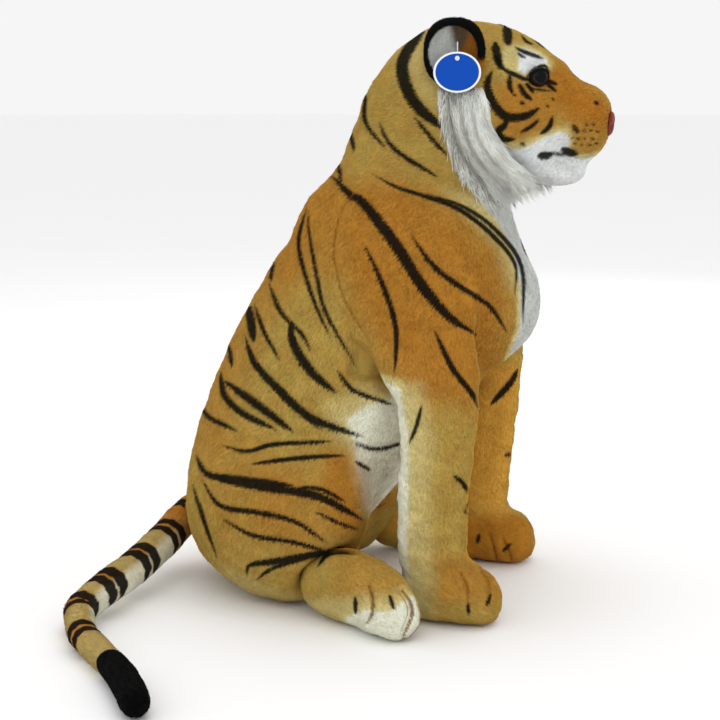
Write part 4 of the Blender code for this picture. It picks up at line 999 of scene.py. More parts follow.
def paint_head(points, normals):
    """Face, crown, cheeks, mouth and chin; below the jaw the neck carries on the trunk's marks."""
    colours = palette()
    tint = painted(points, normals, HEAD_PATCHES, TRUNK_STROKES[:5] + FACE_STROKES)
    pixels = project(near_side(points))
    for colour, strength, strokes, soft, blunt in (
        (colours["stripe"], STRIPE_STRENGTH, EYE_STROKES, 1.1, 0.6),
        (colours["stripe"] * 1.6, 0.9, WHISKER_MARKS, 0.8, 0.7),
        (colours["cream"] * 0.7, 0.7, LIP_STROKES, 1.4, 0.0),
        (colours["stripe"], STRIPE_STRENGTH, MOUTH_STROKES, 1.1, 0.5),
    ):
        tint = laid(tint, colour, strength * stroke_cover(pixels, strokes, soft, blunt))
    height = points @ unit(np.array(TURN_NORMAL))
    neck = ramped(height, NECK_PAINT[1], NECK_PAINT[0] - NECK_PAINT[1])[:, None]
    return tint + neck * (paint_trunk(points, normals) - tint)


def tail_line():
    """The tail's middle line: its root plus its shares times its reach, and on past its tip.

    The height is the thickness less the floor's cut, plus the rise times how far the root stands above it.
    """
    forward, outward, rise, thickness = TAIL_SHARES.T
    height = thickness * TAIL_RADIUS - TAIL_FLOOR_CUT
    height = height + rise * (TAIL_ROOT[2] - TAIL_RADIUS + TAIL_FLOOR_CUT)
    line = np.stack(
        (TAIL_ROOT[0] + forward * TAIL_REACH, TAIL_ROOT[1] - outward * TAIL_REACH, height), axis=1)
    return np.vstack((line, line[-1] + TAIL_PAST_TIP * (line[-1] - line[-2])))


TAIL_LINE = tail_line()


def tail_run(points):
    """How far along the tail each point is, and the tail's direction there."""
    step = np.diff(TAIL_LINE, axis=0)
    share, away = to_segments(points, TAIL_LINE[:-1], step)
    nearest = away.argmin(axis=1)
    run = line_run(TAIL_LINE)
    along = run[nearest] + share[np.arange(len(points)), nearest] * np.diff(run)[nearest]
    return along, unit(step[nearest])


def paint_tail(points, normals):
    """Bands round the tail that narrow on its underside, and a black tip."""
    colours = palette()
    along, _ = tail_run(points)
    under = smooth_step((-normals[:, 2] - 0.1) / 0.7)
    pale = smooth_step((0.75 * normals[:, 0] - 0.65 * normals[:, 2] + 0.25) / 0.7)
    pale = pale * (0.25 + 0.75 * smooth_step((along - TAIL_PALE_FROM) / 0.03))
    tint = np.broadcast_to(colours["tan"], points.shape).copy()
    # Pale side in the brighter white: pale fur with painted light
    tint = laid(tint, colours["belly"], 0.08 + 0.85 * pale)
    tint = laid(tint, colours["orange"], 0.75 * smooth_step((TAIL_PALE_FROM + 0.012 - along) / 0.02))
    for place in TAIL_WARM:
        ring = np.exp(-((along - place) / TAIL_WARM_REACH) ** 4)
        tint = laid(tint, colours["orange"], (0.8 - 0.5 * pale) * ring)
    wander = TAIL_WANDER * np.sin(9.0 * np.arctan2(normals[:, 2], normals[:, 0]) + 300.0 * along)
    for place, half in TAIL_BANDS:
        reach = half * (1.0 - 0.55 * under)
        cover = smooth_step(0.5 + (reach - np.abs(along + wander - place)) / TAIL_BAND_SOFT)
        tint = laid(tint, colours["stripe"], STRIPE_STRENGTH * cover)
    return laid(tint, colours["stripe"] * 0.45, smooth_step((along - TAIL_TIP_START) / TAIL_TIP_SOFT))


def shader_node(tree, kind, values=None, **settings):
    """A shader node with its settings and its sockets' values."""
    made = tree.nodes.new("ShaderNode" + kind)
    for name, value in settings.items():
        setattr(made, name, value)
    for name, value in (values or {}).items():
        made.inputs[name].default_value = value
    return made


def colour_ramp(tree, *stops):
    """A colour ramp from stops of a place and a colour."""
    ramp = shader_node(tree, "ValToRGB")
    elements = ramp.color_ramp.elements
    for element, (place, colour) in zip(elements, stops[:2]):
        element.position = place
        element.color = (*colour, 1)
    for place, colour in stops[2:]:
        elements.new(place).color = (*colour, 1)
    return ramp


def wired(tree, *wires):
    """Wires of a node tree, each from a node's output to a node's input."""
    for source, output, target, entry in wires:
        tree.links.new(source.outputs[output], target.inputs[entry])


def new_material(name, roughness, specular):
    """A node material, its node tree and its Principled shader."""
    material = bpy.data.materials.new(name)
    material.use_nodes = True
    shader = material.node_tree.nodes["Principled BSDF"]
    shader.inputs["Roughness"].default_value = roughness
    shader.inputs["Specular IOR Level"].default_value = specular
    return material, material.node_tree, shader


def relief_of(tree, source, shader, strength, distance):
    """Bumps the shader's surface by a node's factor."""
    relief = shader_node(tree, "Bump", {"Strength": strength, "Distance": distance})
    wired(tree, (source, "Fac", relief, "Height"), (relief, "Normal", shader, "Normal"))


def fibre_material(name, roughness, specular, sheen, sheen_roughness, dim, streak=None):
    """Plush in the painted tint, lighter or darker by noise at rest places.

    Where a streak is given, finer noise streaks the tint as well, and dimples the surface.
    """
    material, tree, shader = new_material(name, roughness, specular)
    shader.inputs["Sheen Weight"].default_value = sheen
    shader.inputs["Sheen Roughness"].default_value = sheen_roughness
    tint = shader_node(tree, "Attribute", attribute_name="tint")
    rest = shader_node(tree, "Attribute", attribute_name="rest")
    coarse = shader_node(tree, "TexNoise", {"Scale": 55.0, "Detail": 4.0})
    level = shader_node(
        tree, "MapRange", {"From Min": 0.3, "From Max": 0.7, "To Min": dim[0], "To Max": dim[1]})
    scaled = shader_node(tree, "VectorMath", operation="SCALE")
    wired(
        tree, (rest, "Vector", coarse, "Vector"), (coarse, "Fac", level, "Value"), (tint, "Color", scaled, 0),
        (scaled, "Vector", shader, "Base Color"), (tint, "Color", shader, "Sheen Tint"))
    if streak is None:
        wired(tree, (level, "Result", scaled, "Scale"))
        return material
    fine = shader_node(tree, "TexNoise", {"Scale": 850.0, "Detail": 2.0})
    span = shader_node(
        tree, "MapRange",
        {"From Min": 0.25, "From Max": 0.75, "To Min": 1.0 - streak, "To Max": 1.0 + 0.5 * streak})
    product = shader_node(tree, "Math", operation="MULTIPLY")
    wired(
        tree, (rest, "Vector", fine, "Vector"), (fine, "Fac", span, "Value"), (span, "Result", product, 0),
        (level, "Result", product, 1), (product, "Value", scaled, "Scale"))
    relief_of(tree, fine, shader, 0.5, 0.0012)
    return material


def mottled_material(name, low, high, scale, roughness, specular, relief=None):
    """Felt, moulded plastic or paper: noise on Object coordinates from one colour to another."""
    material, tree, shader = new_material(name, roughness, specular)
    places = shader_node(tree, "TexCoord")
    noise = shader_node(tree, "TexNoise", {"Scale": scale})
    ramp = colour_ramp(tree, (0.0, low), (1.0, high))
    wired(
        tree, (places, "Object", noise, "Vector"), (noise, "Fac", ramp, "Fac"),
        (ramp, "Color", shader, "Base Color"))
    if relief:
        relief_of(tree, noise, shader, *relief)
    return material


def felt_material(name, colour, roughness=0.95):
    """A short flock or felt."""
    high = np.minimum(1.0, colour * 1.4)
    return mottled_material(
        name, colour * 0.7, high, scale=900.0, roughness=roughness, specular=0.15, relief=(0.4, 0.0006))


def glass_material(name):
    """Glossy eye plastic: a black pupil in a brown ring, by the piece's own ring share."""
    material, tree, shader = new_material(name, roughness=0.06, specular=0.08)
    share = shader_node(tree, "Attribute", attribute_name="ring")
    ramp = colour_ramp(
        tree, (EYE_PUPIL_SHARE - 0.04, (0.004, 0.004, 0.004)),
        (EYE_PUPIL_SHARE + 0.04, (0.040, 0.018, 0.006)), (0.93, (0.010, 0.006, 0.004)))
    wired(tree, (share, "Fac", ramp, "Fac"), (ramp, "Color", shader, "Base Color"))
    return material


def tag_material(name, colour):
    """A printed card: a colour inside an oval, a white border outside it, on turned Object coordinates."""
    material, tree, shader = new_material(name, roughness=0.5, specular=0.12)
    low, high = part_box("hang_tag")
    places = shader_node(tree, "TexCoord")
    turned = shader_node(
        tree, "Mapping",
        {"Location": 0.5 * (low + high), "Rotation": (0.0, 0.0, EAR_TURN), "Scale": TAG_HALF},
        vector_type="TEXTURE")
    flat = shader_node(tree, "VectorMath", {1: (1.0, 0.0, 1.0)}, operation="MULTIPLY")
    length = shader_node(tree, "VectorMath", operation="LENGTH")
    ramp = colour_ramp(tree, (TAG_BORDER - 0.005, colour), (TAG_BORDER + 0.005, (0.86, 0.87, 0.86)))
    noise = shader_node(tree, "TexNoise", {"Scale": 400.0})
    wired(
        tree, (places, "Object", turned, "Vector"), (turned, "Vector", flat, 0), (flat, "Vector", length, 0),
        (length, "Value", ramp, "Fac"), (ramp, "Color", shader, "Base Color"),
        (places, "Object", noise, "Vector"))
    relief_of(tree, noise, shader, 0.05, 0.0003)
    return material


FIBRES = {
    "plush_skin": {"roughness": 0.9, "specular": 0.06, "sheen": 0.12, "sheen_roughness": 0.45,
                   "dim": (0.88, 1.08), "streak": 0.22},
    "plush_pile": {"roughness": 0.85, "specular": 0.05, "sheen": 0.08, "sheen_roughness": 0.4,
                   "dim": (0.87, 1.10)},
}


def plush(name):
    """The skins' or the pile's material, made the first time it is asked for."""
    return bpy.data.materials.get(name) or fibre_material(name, **FIBRES[name])


def dressed(obj, material, tint=None):
    """Gives a piece its material, its painted tint and its places at rest."""
    mesh = obj.data
    mesh.materials.clear()
    mesh.materials.append(material)
    rest = mesh.attributes.new("rest", "FLOAT_VECTOR", "POINT")
    rest.data.foreach_set("vector", values_of(mesh.vertices, "co", 3, np.float32))
    if tint is not None:
        colour = mesh.attributes.new("tint", "FLOAT_COLOR", "POINT")
        values = np.hstack((tint, np.ones((len(tint), 1)))).astype(np.float32)
        colour.data.foreach_set("color", values.ravel())
    return obj


def sampled(verts, faces, spacing, rng):
    """Places spread by area over a form's faces, with the normals there."""
    quads = faces[faces[:, 3] >= 0]
    triangles = np.vstack((faces[:, :3], quads[:, (0, 2, 3)]))
    a, b, c = (verts[triangles[:, column]] for column in range(3))
    area = 0.5 * np.linalg.norm(np.cross(b - a, c - a), axis=1)
    total = area.sum()
    count = int(total / spacing ** 2)
    steps = (np.arange(count) + rng.random(count)) / count * total
    chosen = np.minimum(np.searchsorted(np.cumsum(area), steps), len(area) - 1)
    first, second = rng.random((2, count))
    over = first + second > 1.0
    first = np.where(over, 1.0 - first, first)
    second = np.where(over, 1.0 - second, second)
    normals = normals_of(verts, faces)
    share = np.stack((1.0 - first - second, first, second), axis=1)[..., None]
    corners = triangles[chosen]
    return (verts[corners] * share).sum(axis=1), unit((normals[corners] * share).sum(axis=1))


def tufts(name, roots, normals, flow, tint, length, width, lean, wild, rng):
    """Closed three-sided tufts: a base across the flow, a ridge on the surface's normal, and a tip.

    A tuft's direction is the flow along the surface, raised by the lean, with some disorder.
    """
    count = len(roots)
    along = flow - (flow * normals).sum(axis=1, keepdims=True) * normals
    along = unit(along + wild * rng.standard_normal((count, 3)))
    along = unit(along - (along * normals).sum(axis=1, keepdims=True) * normals)
    rise = lean * (0.6 + 0.8 * rng.random((count, 1)))
    direction = unit(along + rise * normals)
    side = unit(np.cross(normals, direction))
    reach = (length * (0.65 + 0.6 * rng.random(count)))[:, None]
    half = 0.5 * width * (0.75 + 0.5 * rng.random((count, 1)))
    base = roots - 0.4 * half * normals
    verts = np.stack((
        base + half * side, base - half * side, roots + 0.8 * half * normals, roots + reach * direction
    ), axis=1).reshape(-1, 3)
    verts[:, 2] = np.maximum(verts[:, 2], PILE_FLOOR)
    pattern = np.array(((0, 2, 3, -1), (2, 1, 3, -1), (0, 3, 1, -1), (0, 1, 2, -1)))
    faces = np.where(pattern >= 0, np.arange(count)[:, None, None] * 4 + pattern, -1).reshape(-1, 4)
    obj = mesh_object(name, verts, faces)
    jitter = (1.0 + 0.10 * rng.standard_normal((count, 1))).clip(0.7, 1.35)
    # Painted shade at each tuft's base and painted light at its tip
    shades = np.stack([share * tint for share in TUFT_ROOT_SHADE_TIP_LIGHT], axis=1) * jitter[:, None]
    dressed(obj, plush("plush_pile"), np.clip(shades.reshape(-1, 3), 0, 1))
    shading = unit(np.repeat(normals, 4, axis=0) + 0.25 * np.repeat(direction, 4, axis=0))
    obj.data.normals_split_custom_set_from_vertices(shading)
    flat_map(obj, np.repeat(roots, 4, axis=0), verts)
    return obj


def flat_map(obj, roots, verts):
    """A map for baking: places seen from the side, the left half of the picture for the right side."""
    low = np.array(CAD_BOX[0])
    span = np.array(CAD_BOX[1]) - low
    level = (verts - low) / span
    left = (roots[:, 1] > 0).astype(float)
    across = 0.02 + 0.46 * level[:, 0] + 0.5 * left
    up = 0.02 + 0.96 * level[:, 2]
    layer = obj.data.uv_layers.new(name="OFBake")
    index = values_of(obj.data.loops, "vertex_index")
    layer.data.foreach_set("uv", np.stack((across, up), axis=1)[index].astype(np.float32).ravel())


def everywhere(roots):
    """Every root."""
    return np.ones(len(roots), dtype=bool)


def pile_on(verts, faces, paint, flow, parts, seed, spacing, length, width, lean, wild=0.10):
    """Tufts over a skin, split into named parts so none grows too large."""
    rng = np.random.default_rng(SEED + seed)
    spread = spacing * 1.0
    roots, normals = sampled(verts, faces, spread, rng)
    above = roots[:, 2] > PILE_BARE_BELOW
    roots, normals = roots[above], normals[above]
    tint = paint(roots, normals)
    direction = flow(roots)
    made = []
    for name, chooser in parts:
        chosen = chooser(roots)
        reach = length(roots[chosen]) if callable(length) else length
        made.append(tufts(
            name, roots[chosen], normals[chosen], direction[chosen], tint[chosen], reach, width, lean, wild,
            rng))
    return made


def trunk_flow(points):
    """Pile lies back and down the trunk."""
    return np.broadcast_to(np.array((-0.45, 0.0, -0.9)), points.shape)


def head_flow(points):
    """Pile lies away from the nose, and down the cheeks."""
    return unit(points - PILE_PARTS_AT) + (0.0, 0.0, -0.35)


def leg_flow(points):
    """Pile lies down the leg and forward over the paw."""
    paw = ramped(points[:, 2], *PAW_TOP)[:, None]
    return np.array((0.0, 0.0, -1.0)) * (1 - paw) + np.array((0.9, 0.0, -0.5)) * paw


def foot_flow(points):
    """Pile lies forward and out along the foot."""
    return (0.78, 0.0, -0.35) + np.array((0.0, 0.5, 0.0)) * np.sign(points[:, 1:2])


def tail_flow(points):
    """Pile lies along the tail towards its tip."""
    return tail_run(points)[1]


def plane_band(normal, places):
    """The points of two parallel planes nearest the origin."""
    direction = Vector(normal).normalized()
    return [tuple(direction * place) for place in places]


def carried(obj, bodies, band):
    """Attaches a piece to the empty of its one body; a piece given a band instead has its place baked into
    its mesh.
    """
    if band is None:
        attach(obj, *bodies)
    else:
        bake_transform(obj)


def skin_piece(name, verts, faces, paint, replaced, seen=None):
    """A stuffed skin in place of its nodes, shaded without the faces that close its cut."""
    obj = mesh_object(name, verts, faces)
    normals = normals_of(verts, faces if seen is None else seen)
    dressed(obj, plush("plush_skin"), paint(verts, normals))
    if seen is not None:
        obj.data.normals_split_custom_set_from_vertices(normals)
    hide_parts(*replaced)
    return obj


def limb_pile(name, seed, share, chooser=everywhere):
    """The settings of a limb's pile, whose tufts have a share of the trunk's length."""
    sizes = bpy.context.scene.plush_tiger_sizes
    return {"parts": ((name + "_pile", chooser),), "seed": seed, "spacing": sizes.limb_pile_spacing,
            "length": sizes.pile_length * share, **LIMB_TUFT}


def piled_skin(name, verts, faces, paint, flow, replaced, bodies, band, pile, seen=None):
    """A stuffed skin and its pile, both carried the same way."""
    skin = skin_piece(name, verts, faces, paint, replaced, seen)
    carried(skin, bodies, band)
    for tuft in pile_on(verts, faces if seen is None else seen, paint, flow, **pile):
        carried(tuft, bodies, band)


def trunk_form():
    """The fused form of trunk, thighs, neck and head, relaxed and sculpted, with its shoulder seam."""
    sizes = bpy.context.scene.plush_tiger_sizes
    names = ("torso", "chest_bib", "right_thigh", "left_thigh", "neck", "head", "muzzle", "chin")
    forms = [node_form(name) for name in names]
    for word in SIDES.values():
        verts, faces = node_form(word + "_front_leg")
        forms.append((np.maximum(verts, (-np.inf, -np.inf, LEG_STUB_BASE)), faces))
    forms.append(ball_form((TAIL_LINE[0, 0] + TAIL_PLUG_FORWARD, 0.0, TAIL_LINE[0, 2]), TAIL_PLUG_RADII))
    verts, faces = fused(forms, sizes.skin_voxel)
    edges = edges_of(faces)
    face_share = ramped(verts @ FACE_NORMAL, *FACE_FRONT)
    verts = relaxed(verts, edges, TRUNK_ROUNDS, 0.5, 1.0 - 0.75 * face_share)
    away = np.linalg.norm((near_side(verts) - SHOULDER_PLACE) * (1.0, 0.4, 1.0), axis=1)
    verts = relaxed(verts, edges, SHOULDER_ROUNDS, 0.5, ramped(away, *SHOULDER_REACH))
    normals = normals_of(verts, faces)
    for centre, radius, rise in TRUNK_PUSHES:
        verts = pushed(verts, normals, centre, radius, rise)
    verts = lumpy(verts, faces, 1.0 - face_share)
    seam = stroke_cover(project(near_side(verts)), SHOULDER_SEAM, soft=2.2, blunt=0.6)
    return verts - normals_of(verts, faces) * (SHOULDER_SEAM_DEPTH * seam)[:, None], faces


def leg_zone(verts):
    """How far a corner of the trunk belongs to the stub that the front leg's skin covers."""
    outward = ramped(np.abs(verts[:, 1]), *LEG_ZONE_OUTWARD)
    sideways = ramped(np.abs(verts[:, 0] - LEG_MIDDLE), *LEG_ZONE_SIDEWAYS)
    height = verts[:, 2]
    return outward * sideways * ramped(height, *LEG_ZONE_TOP) * ramped(height, *LEG_ZONE_BASE)


def sculpted_face(verts, faces):
    """The eye sockets, brows, cheeks and mouth pressed into or raised from the head."""
    normals = normals_of(verts, faces)
    for centre, radius, rise in FACE_PUSHES:
        verts = pushed(verts, normals, centre, radius, rise)
    groove = stroke_cover(project(near_side(verts)), MOUTH_STROKES, soft=2.0, blunt=0.5)
    return verts - normals * (MOUTH_DEPTH * groove * ramped(verts[:, 0], *MOUTH_FRONT))[:, None]


def limb_form(nodes, voxel, rounds, lumps, seams=(), soft=1.0, depth=0.0):
    """Nodes fused, relaxed, subdivided, made lumpy and grooved along seams: corners, faces, normals."""
    verts, faces = fused([node_form(node) for node in nodes], voxel)
    verts, faces = finer(relaxed(verts, edges_of(faces), rounds), faces)
    verts = lumpy(verts, faces, lumps)
    normals = normals_of(verts, faces)
    groove = stroke_cover(project(near_side(verts)), seams, soft=soft, blunt=0.5)
    return verts - normals * (depth * groove)[:, None], faces, normals


class TIGER_OT_trunk(bpy.types.Operator):
    """Fuses trunk, thighs and neck into one stuffed skin, and lays pile on it"""

    bl_idname = "plush_tiger.trunk"
    bl_label = "Trunk"

    def execute(self, context):
        sizes = context.scene.plush_tiger_sizes
        SKINS["whole"] = finer(*trunk_form())
        body, faces = cut_along(*SKINS["whole"], NECK_CUT_NORMAL, NECK_CUT_PLACE, True)
        seen = open_faces(body, faces, NECK_CUT_NORMAL, NECK_CUT_PLACE)
        body = body - normals_of(body, seen) * (STUB_SINK * leg_zone(body))[:, None]
        SKINS["body"] = (body, faces)

        def right_side(roots):
            return (roots[:, 1] <= 0) & (leg_zone(roots) < 0.9)

        def left_side(roots):
            return (roots[:, 1] > 0) & (leg_zone(roots) < 0.9)

        pile = {"parts": (("right_body_pile", right_side), ("left_body_pile", left_side)), "seed": 1,
                "spacing": sizes.pile_spacing, "length": sizes.pile_length, **TRUNK_TUFT}
        piled_skin(
            "body_skin", body, faces, paint_trunk, trunk_flow,
            ("torso", "chest_bib", "right_thigh", "left_thigh"), ("body", "neck"),
            plane_band(NECK_CUT_NORMAL, NOD_BAND), pile, seen)
        return {"FINISHED"}


class TIGER_OT_head(bpy.types.Operator):
    """Cuts the head's skin from the fused form, sculpts its face and lays short pile on it"""

    bl_idname = "plush_tiger.head"
    bl_label = "Head"

    def execute(self, context):
        sizes = context.scene.plush_tiger_sizes
        head, faces = cut_along(*SKINS["whole"], NECK_CUT_NORMAL, NECK_CUT_PLACE, False)
        seen = open_faces(head, faces, NECK_CUT_NORMAL, NECK_CUT_PLACE)
        head = sculpted_face(head, seen)
        SKINS["head"] = (head, faces)

        def reach(roots):
            forward = ramped(roots[:, 0], *CROWN_TO_FACE)
            return sizes.pile_length + forward * (sizes.face_pile_length - sizes.pile_length)

        pile = {"parts": (("head_pile", everywhere),), "seed": 2, "length": reach, **HEAD_TUFT}
        piled_skin(
            "head_skin", head, faces, paint_head, head_flow, ("head", "muzzle", "chin", "neck"),
            ("neck", "head"), plane_band(TURN_NORMAL, TURN_BAND), pile, seen)
        return {"FINISHED"}


class TIGER_OT_legs(bpy.types.Operator):
    """Front legs with their paws, whose tops sink under the shoulders"""

    bl_idname = "plush_tiger.legs"
    bl_label = "Front Legs"

    def execute(self, context):
        sizes = context.scene.plush_tiger_sizes

        def below_shoulder(roots):
            return roots[:, 2] < LEG_PILE_TOP

        for side, word in SIDES.items():
            leg = word + "_front_leg"
            nodes = (leg, word + "_front_paw")
            verts, faces, normals = limb_form(
                nodes, sizes.limb_voxel, LEG_ROUNDS, LEG_LUMPS, *PAW_GROOVES)
            sink = ramped(verts[:, 2], LEG_HANDOVER[0], LEG_HANDOVER[1] - LEG_HANDOVER[0])
            verts = verts - normals * (LEG_SINK * sink)[:, None]
            band = [(LEG_AXIS[0], side * LEG_AXIS[1], height) for height in LEG_BLEND]
            piled_skin(
                leg + "_skin", verts, faces, paint_leg, leg_flow, nodes, ("body", leg), band,
                limb_pile(leg, 4 + side, LEG_TUFT_SHARE, below_shoulder))
        return {"FINISHED"}


class TIGER_OT_feet(bpy.types.Operator):
    """Hind feet with toe seams"""

    bl_idname = "plush_tiger.feet"
    bl_label = "Hind Feet"

    def execute(self, context):
        for side, word in SIDES.items():
            foot = word + "_hind_foot"
            verts, faces, _ = limb_form((foot,), FOOT_VOXEL, FOOT_ROUNDS, FOOT_LUMPS, *FOOT_GROOVES)
            piled_skin(
                foot + "_skin", verts, faces, paint_foot, foot_flow, (foot,), (foot,), None,
                limb_pile(foot, 8 + side, FOOT_TUFT_SHARE))
        return {"FINISHED"}


class TIGER_OT_tail(bpy.types.Operator):
    """The ringed tail in two skins, cut across at a seam"""

    bl_idname = "plush_tiger.tail"
    bl_label = "Tail"

    def execute(self, context):
        nodes = ("tail_root", "tail_middle", "tail_end", "tail_tip")
        verts, faces, _ = limb_form(nodes, TAIL_VOXEL, TAIL_ROUNDS, TAIL_LUMPS)
        run = line_run(TAIL_LINE)
        seam, ahead = (
            np.array([np.interp(along, run, TAIL_LINE[:, axis]) for axis in range(3)])
            for along in (TAIL_SEAM_AT, TAIL_SEAM_AT + 0.01))
        normal = unit(ahead - seam)
        place = float(seam @ normal)
        for name, below, replaced, joint, bodies in (
            ("tail_base", True, nodes[:2], "tail_bend", nodes[:2]),
            ("tail_far", False, nodes[2:], "tail_curl", nodes[1:3]),
        ):
            part, part_faces = cut_along(verts, faces, tuple(normal), place, below)
            seen = open_faces(part, part_faces, normal, place)
            along = TAIL_JOINT_REACH * tail_run(JOINTS[joint][None])[1][0]
            band = (tuple(JOINTS[joint] - along), tuple(JOINTS[joint] + along))
            piled_skin(
                name + "_skin", part, part_faces, paint_tail, tail_flow, replaced, bodies, band,
                limb_pile(name, 12 + below, LEG_TUFT_SHARE), seen)
        return {"FINISHED"}


def turned_form(centre, axis, profile, sides):
    """The rings that a profile of (radius, height) rows makes when it is turned about an axis."""
    axis = unit(np.array(axis, dtype=float))
    across = unit(np.cross(axis, (0.0, 0.0, 1.0)))
    up = np.cross(across, axis)
    turn = turns(sides)
    rows = np.array(profile)
    spoke = np.cos(turn)[:, None] * across + np.sin(turn)[:, None] * up
    return rows[:, 0, None, None] * spoke[None] + rows[:, 1, None, None] * axis + np.array(centre)


def turned_over(faces):
    """Faces that point the other way."""
    return np.where(faces[:, 3:] >= 0, faces[:, ::-1], faces[:, (2, 1, 0, 3)])


def faced_out(verts, faces, centre=0.0):
    """Faces, turned over where the triple products of their first three corners add up to less than 0."""
    first, second, third = (verts[faces[:, column]] - centre for column in range(3))
    return turned_over(faces) if (first * np.cross(second, third)).sum() < 0 else faces


def outward_form(rings):
    """A ring form whose faces point out."""
    verts, faces = ring_form(rings)
    return verts, faced_out(verts, faces)


def lid_form(centre, axis):
    """An almond ring of felt: a small circle carried round a tilted ellipse, thicker over the eye."""
    look = unit(np.array(axis, dtype=float))
    back = unit(np.cross(look, (0.0, 0.0, 1.0)))
    back = back if back[0] < 0 else -back
    up = np.array((0.0, 0.0, 1.0))
    up = unit(up - (up @ look) * look)
    long_axis = math.cos(LID_TILT) * back - math.sin(LID_TILT) * up
    short_axis = math.sin(LID_TILT) * back + math.cos(LID_TILT) * up
    turn = turns(LID_AROUND)[:, None, None]
    spin = turns(LID_SIDES)[None, :, None]
    spoke = np.cos(turn) * long_axis + np.sin(turn) * short_axis
    line = np.cos(turn) * LID_REACH[0] * long_axis + np.sin(turn) * LID_REACH[1] * short_axis
    thick = LID_THICKNESS * (1.0 + LID_SWELL * np.sin(turn))
    level = LID_LEVEL[0] + LID_LEVEL[1] * np.abs(np.sin(turn))
    points = centre + line + thick * np.cos(spin) * spoke + (level + thick * np.sin(spin)) * look
    verts = points.reshape(-1, 3)
    return verts, faced_out(verts, ring_walls(LID_AROUND, LID_SIDES, closed=True), centre)


class TIGER_OT_eyes(bpy.types.Operator):
    """Glossy domed eyes in dark lids"""

    bl_idname = "plush_tiger.eyes"
    bl_label = "Eyes"

    def execute(self, context):
        plastic = glass_material("eye_glass")
        felt = felt_material("lid_felt", palette()["stripe"] * 0.5)
        slope = np.arange(EYE_RINGS) * 0.5 * math.pi / EYE_RINGS
        profile = [(EYE_RADIUS * share, height) for share, height in EYE_BACK]
        profile += [(EYE_RADIUS * math.cos(angle), EYE_DOME * math.sin(angle)) for angle in slope]
        for side, word in SIDES.items():
            centre = np.array(EYE_PLACE) * (1, -side, 1)
            axis = np.array(EYE_LOOK) * (1, -side, 1)
            verts, faces = outward_form(turned_form(centre, axis, profile, EYE_SIDES))
            dome = mesh_object(word + "_eye_glass", verts, faces)
            dressed(dome, plastic)
            look = unit(axis.astype(float))
            offset = verts - centre
            away = np.linalg.norm(offset - (offset @ look)[:, None] * look, axis=1) / EYE_RADIUS
            ring = dome.data.attributes.new("ring", "FLOAT", "POINT")
            ring.data.foreach_set("value", away.astype(np.float32))
            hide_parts(word + "_eye")
            carried(dome, ("head",), None)
            lid = mesh_object(word + "_eye_lid", *lid_form(centre, axis))
            dressed(lid, felt)
            carried(lid, ("head",), None)
        return {"FINISHED"}


class TIGER_OT_nose(bpy.types.Operator):
    """The dull red nose pad with its nostrils"""

    bl_idname = "plush_tiger.nose"
    bl_label = "Nose"

    def execute(self, context):
        verts, faces = fused([node_form("nose")], NOSE_VOXEL)
        verts = relaxed(verts, edges_of(faces), NOSE_ROUNDS)
        normals = normals_of(verts, faces)
        low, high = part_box("nose")
        level = 0.5 * (low.z + high.z) - NOSTRIL_DROP
        for behind, aside, radius, rise in NOSTRILS:
            verts = pushed(verts, normals, (high.x - behind, -aside, level), radius, rise)
        pad = mesh_object("nose_pad", verts, faces)
        dressed(pad, felt_material("nose_flock", palette()["nose"], roughness=0.55))
        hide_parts("nose")
        carried(pad, ("head",), None)
        return {"FINISHED"}


def ear_axes(side):
    """The ear's axes: along its root, out of its dish, and up it."""
    turn = -side * EAR_TURN
    lean = -side * EAR_LEAN
    across = np.array((math.cos(turn), math.sin(turn), 0.0))
    level = np.array((-math.sin(turn), math.cos(turn), 0.0))
    upright = np.array((0.0, 0.0, 1.0))
    outward = level * math.cos(lean) + upright * math.sin(lean)
    rise = -level * math.sin(lean) + upright * math.cos(lean)
    return across, side * outward, rise


def ear_rings(side, dish):
    """An outline in polar form, scaled and pushed out by the profile's rows."""
    across, outward, rise = ear_axes(side)
    turn = turns(EAR_SIDES)
    cosine, sine = np.cos(turn), np.sin(turn)
    wide = 0.5 * EAR_WIDTH * np.sign(cosine) * np.abs(cosine) ** 0.82
    tall = np.where(sine > 0, 0.56, 0.54) * EAR_HEIGHT * np.sign(sine) * np.abs(sine) ** 0.86
    rows = np.array(EAR_PROFILE)
    x = rows[:, 0, None] * wide
    z = EAR_MIDDLE + rows[:, 0, None] * tall
    out = (rows[:, 1] * dish + rows[:, 2])[:, None, None] * outward
    return x[..., None] * across + z[..., None] * rise + out + EAR_ORIGIN * (1, -side, 1)


def ear_paint(side):
    """The painter of one ear: black, with a pale spot behind, and a lining that warms to the front."""
    colours = palette()
    across, outward, rise = ear_axes(side)
    origin = EAR_ORIGIN * (1, -side, 1)

    def paint(points, normals):
        offset = points - origin
        wide = (offset @ across) / (0.5 * EAR_WIDTH)
        tall = (offset @ rise - EAR_MIDDLE) / (0.55 * EAR_HEIGHT)
        front = ramped(normals @ outward, -0.1, 0.3)
        lining = np.broadcast_to(colours["white"] * 0.98, points.shape)
        lining = laid(lining, EAR_SHADOW, 0.95 * ramped(wide + 0.30 * tall, *EAR_SHADOW_BAND))
        lining = laid(lining, colours["orange"] * 0.8, 0.9 * ramped(wide - 0.55 * tall, *EAR_WARM_BAND))
        root = ramped(wide, *EAR_ROOT_FRONT) * ramped(tall, *EAR_ROOT_TOP)
        tint = laid(np.broadcast_to(colours["stripe"], points.shape), colours["orange"], 0.95 * root)
        rim = np.sqrt(wide ** 2 + tall ** 2) + 0.05 * wide
        tint = laid(tint, lining, front * ramped(rim, *EAR_RIM_BAND))
        spot = np.sqrt(wide ** 2 + (tall + 0.25) ** 2)
        return laid(tint, colours["white"] * 0.9, (1 - front) * ramped(spot, *EAR_SPOT_BAND))

    return paint


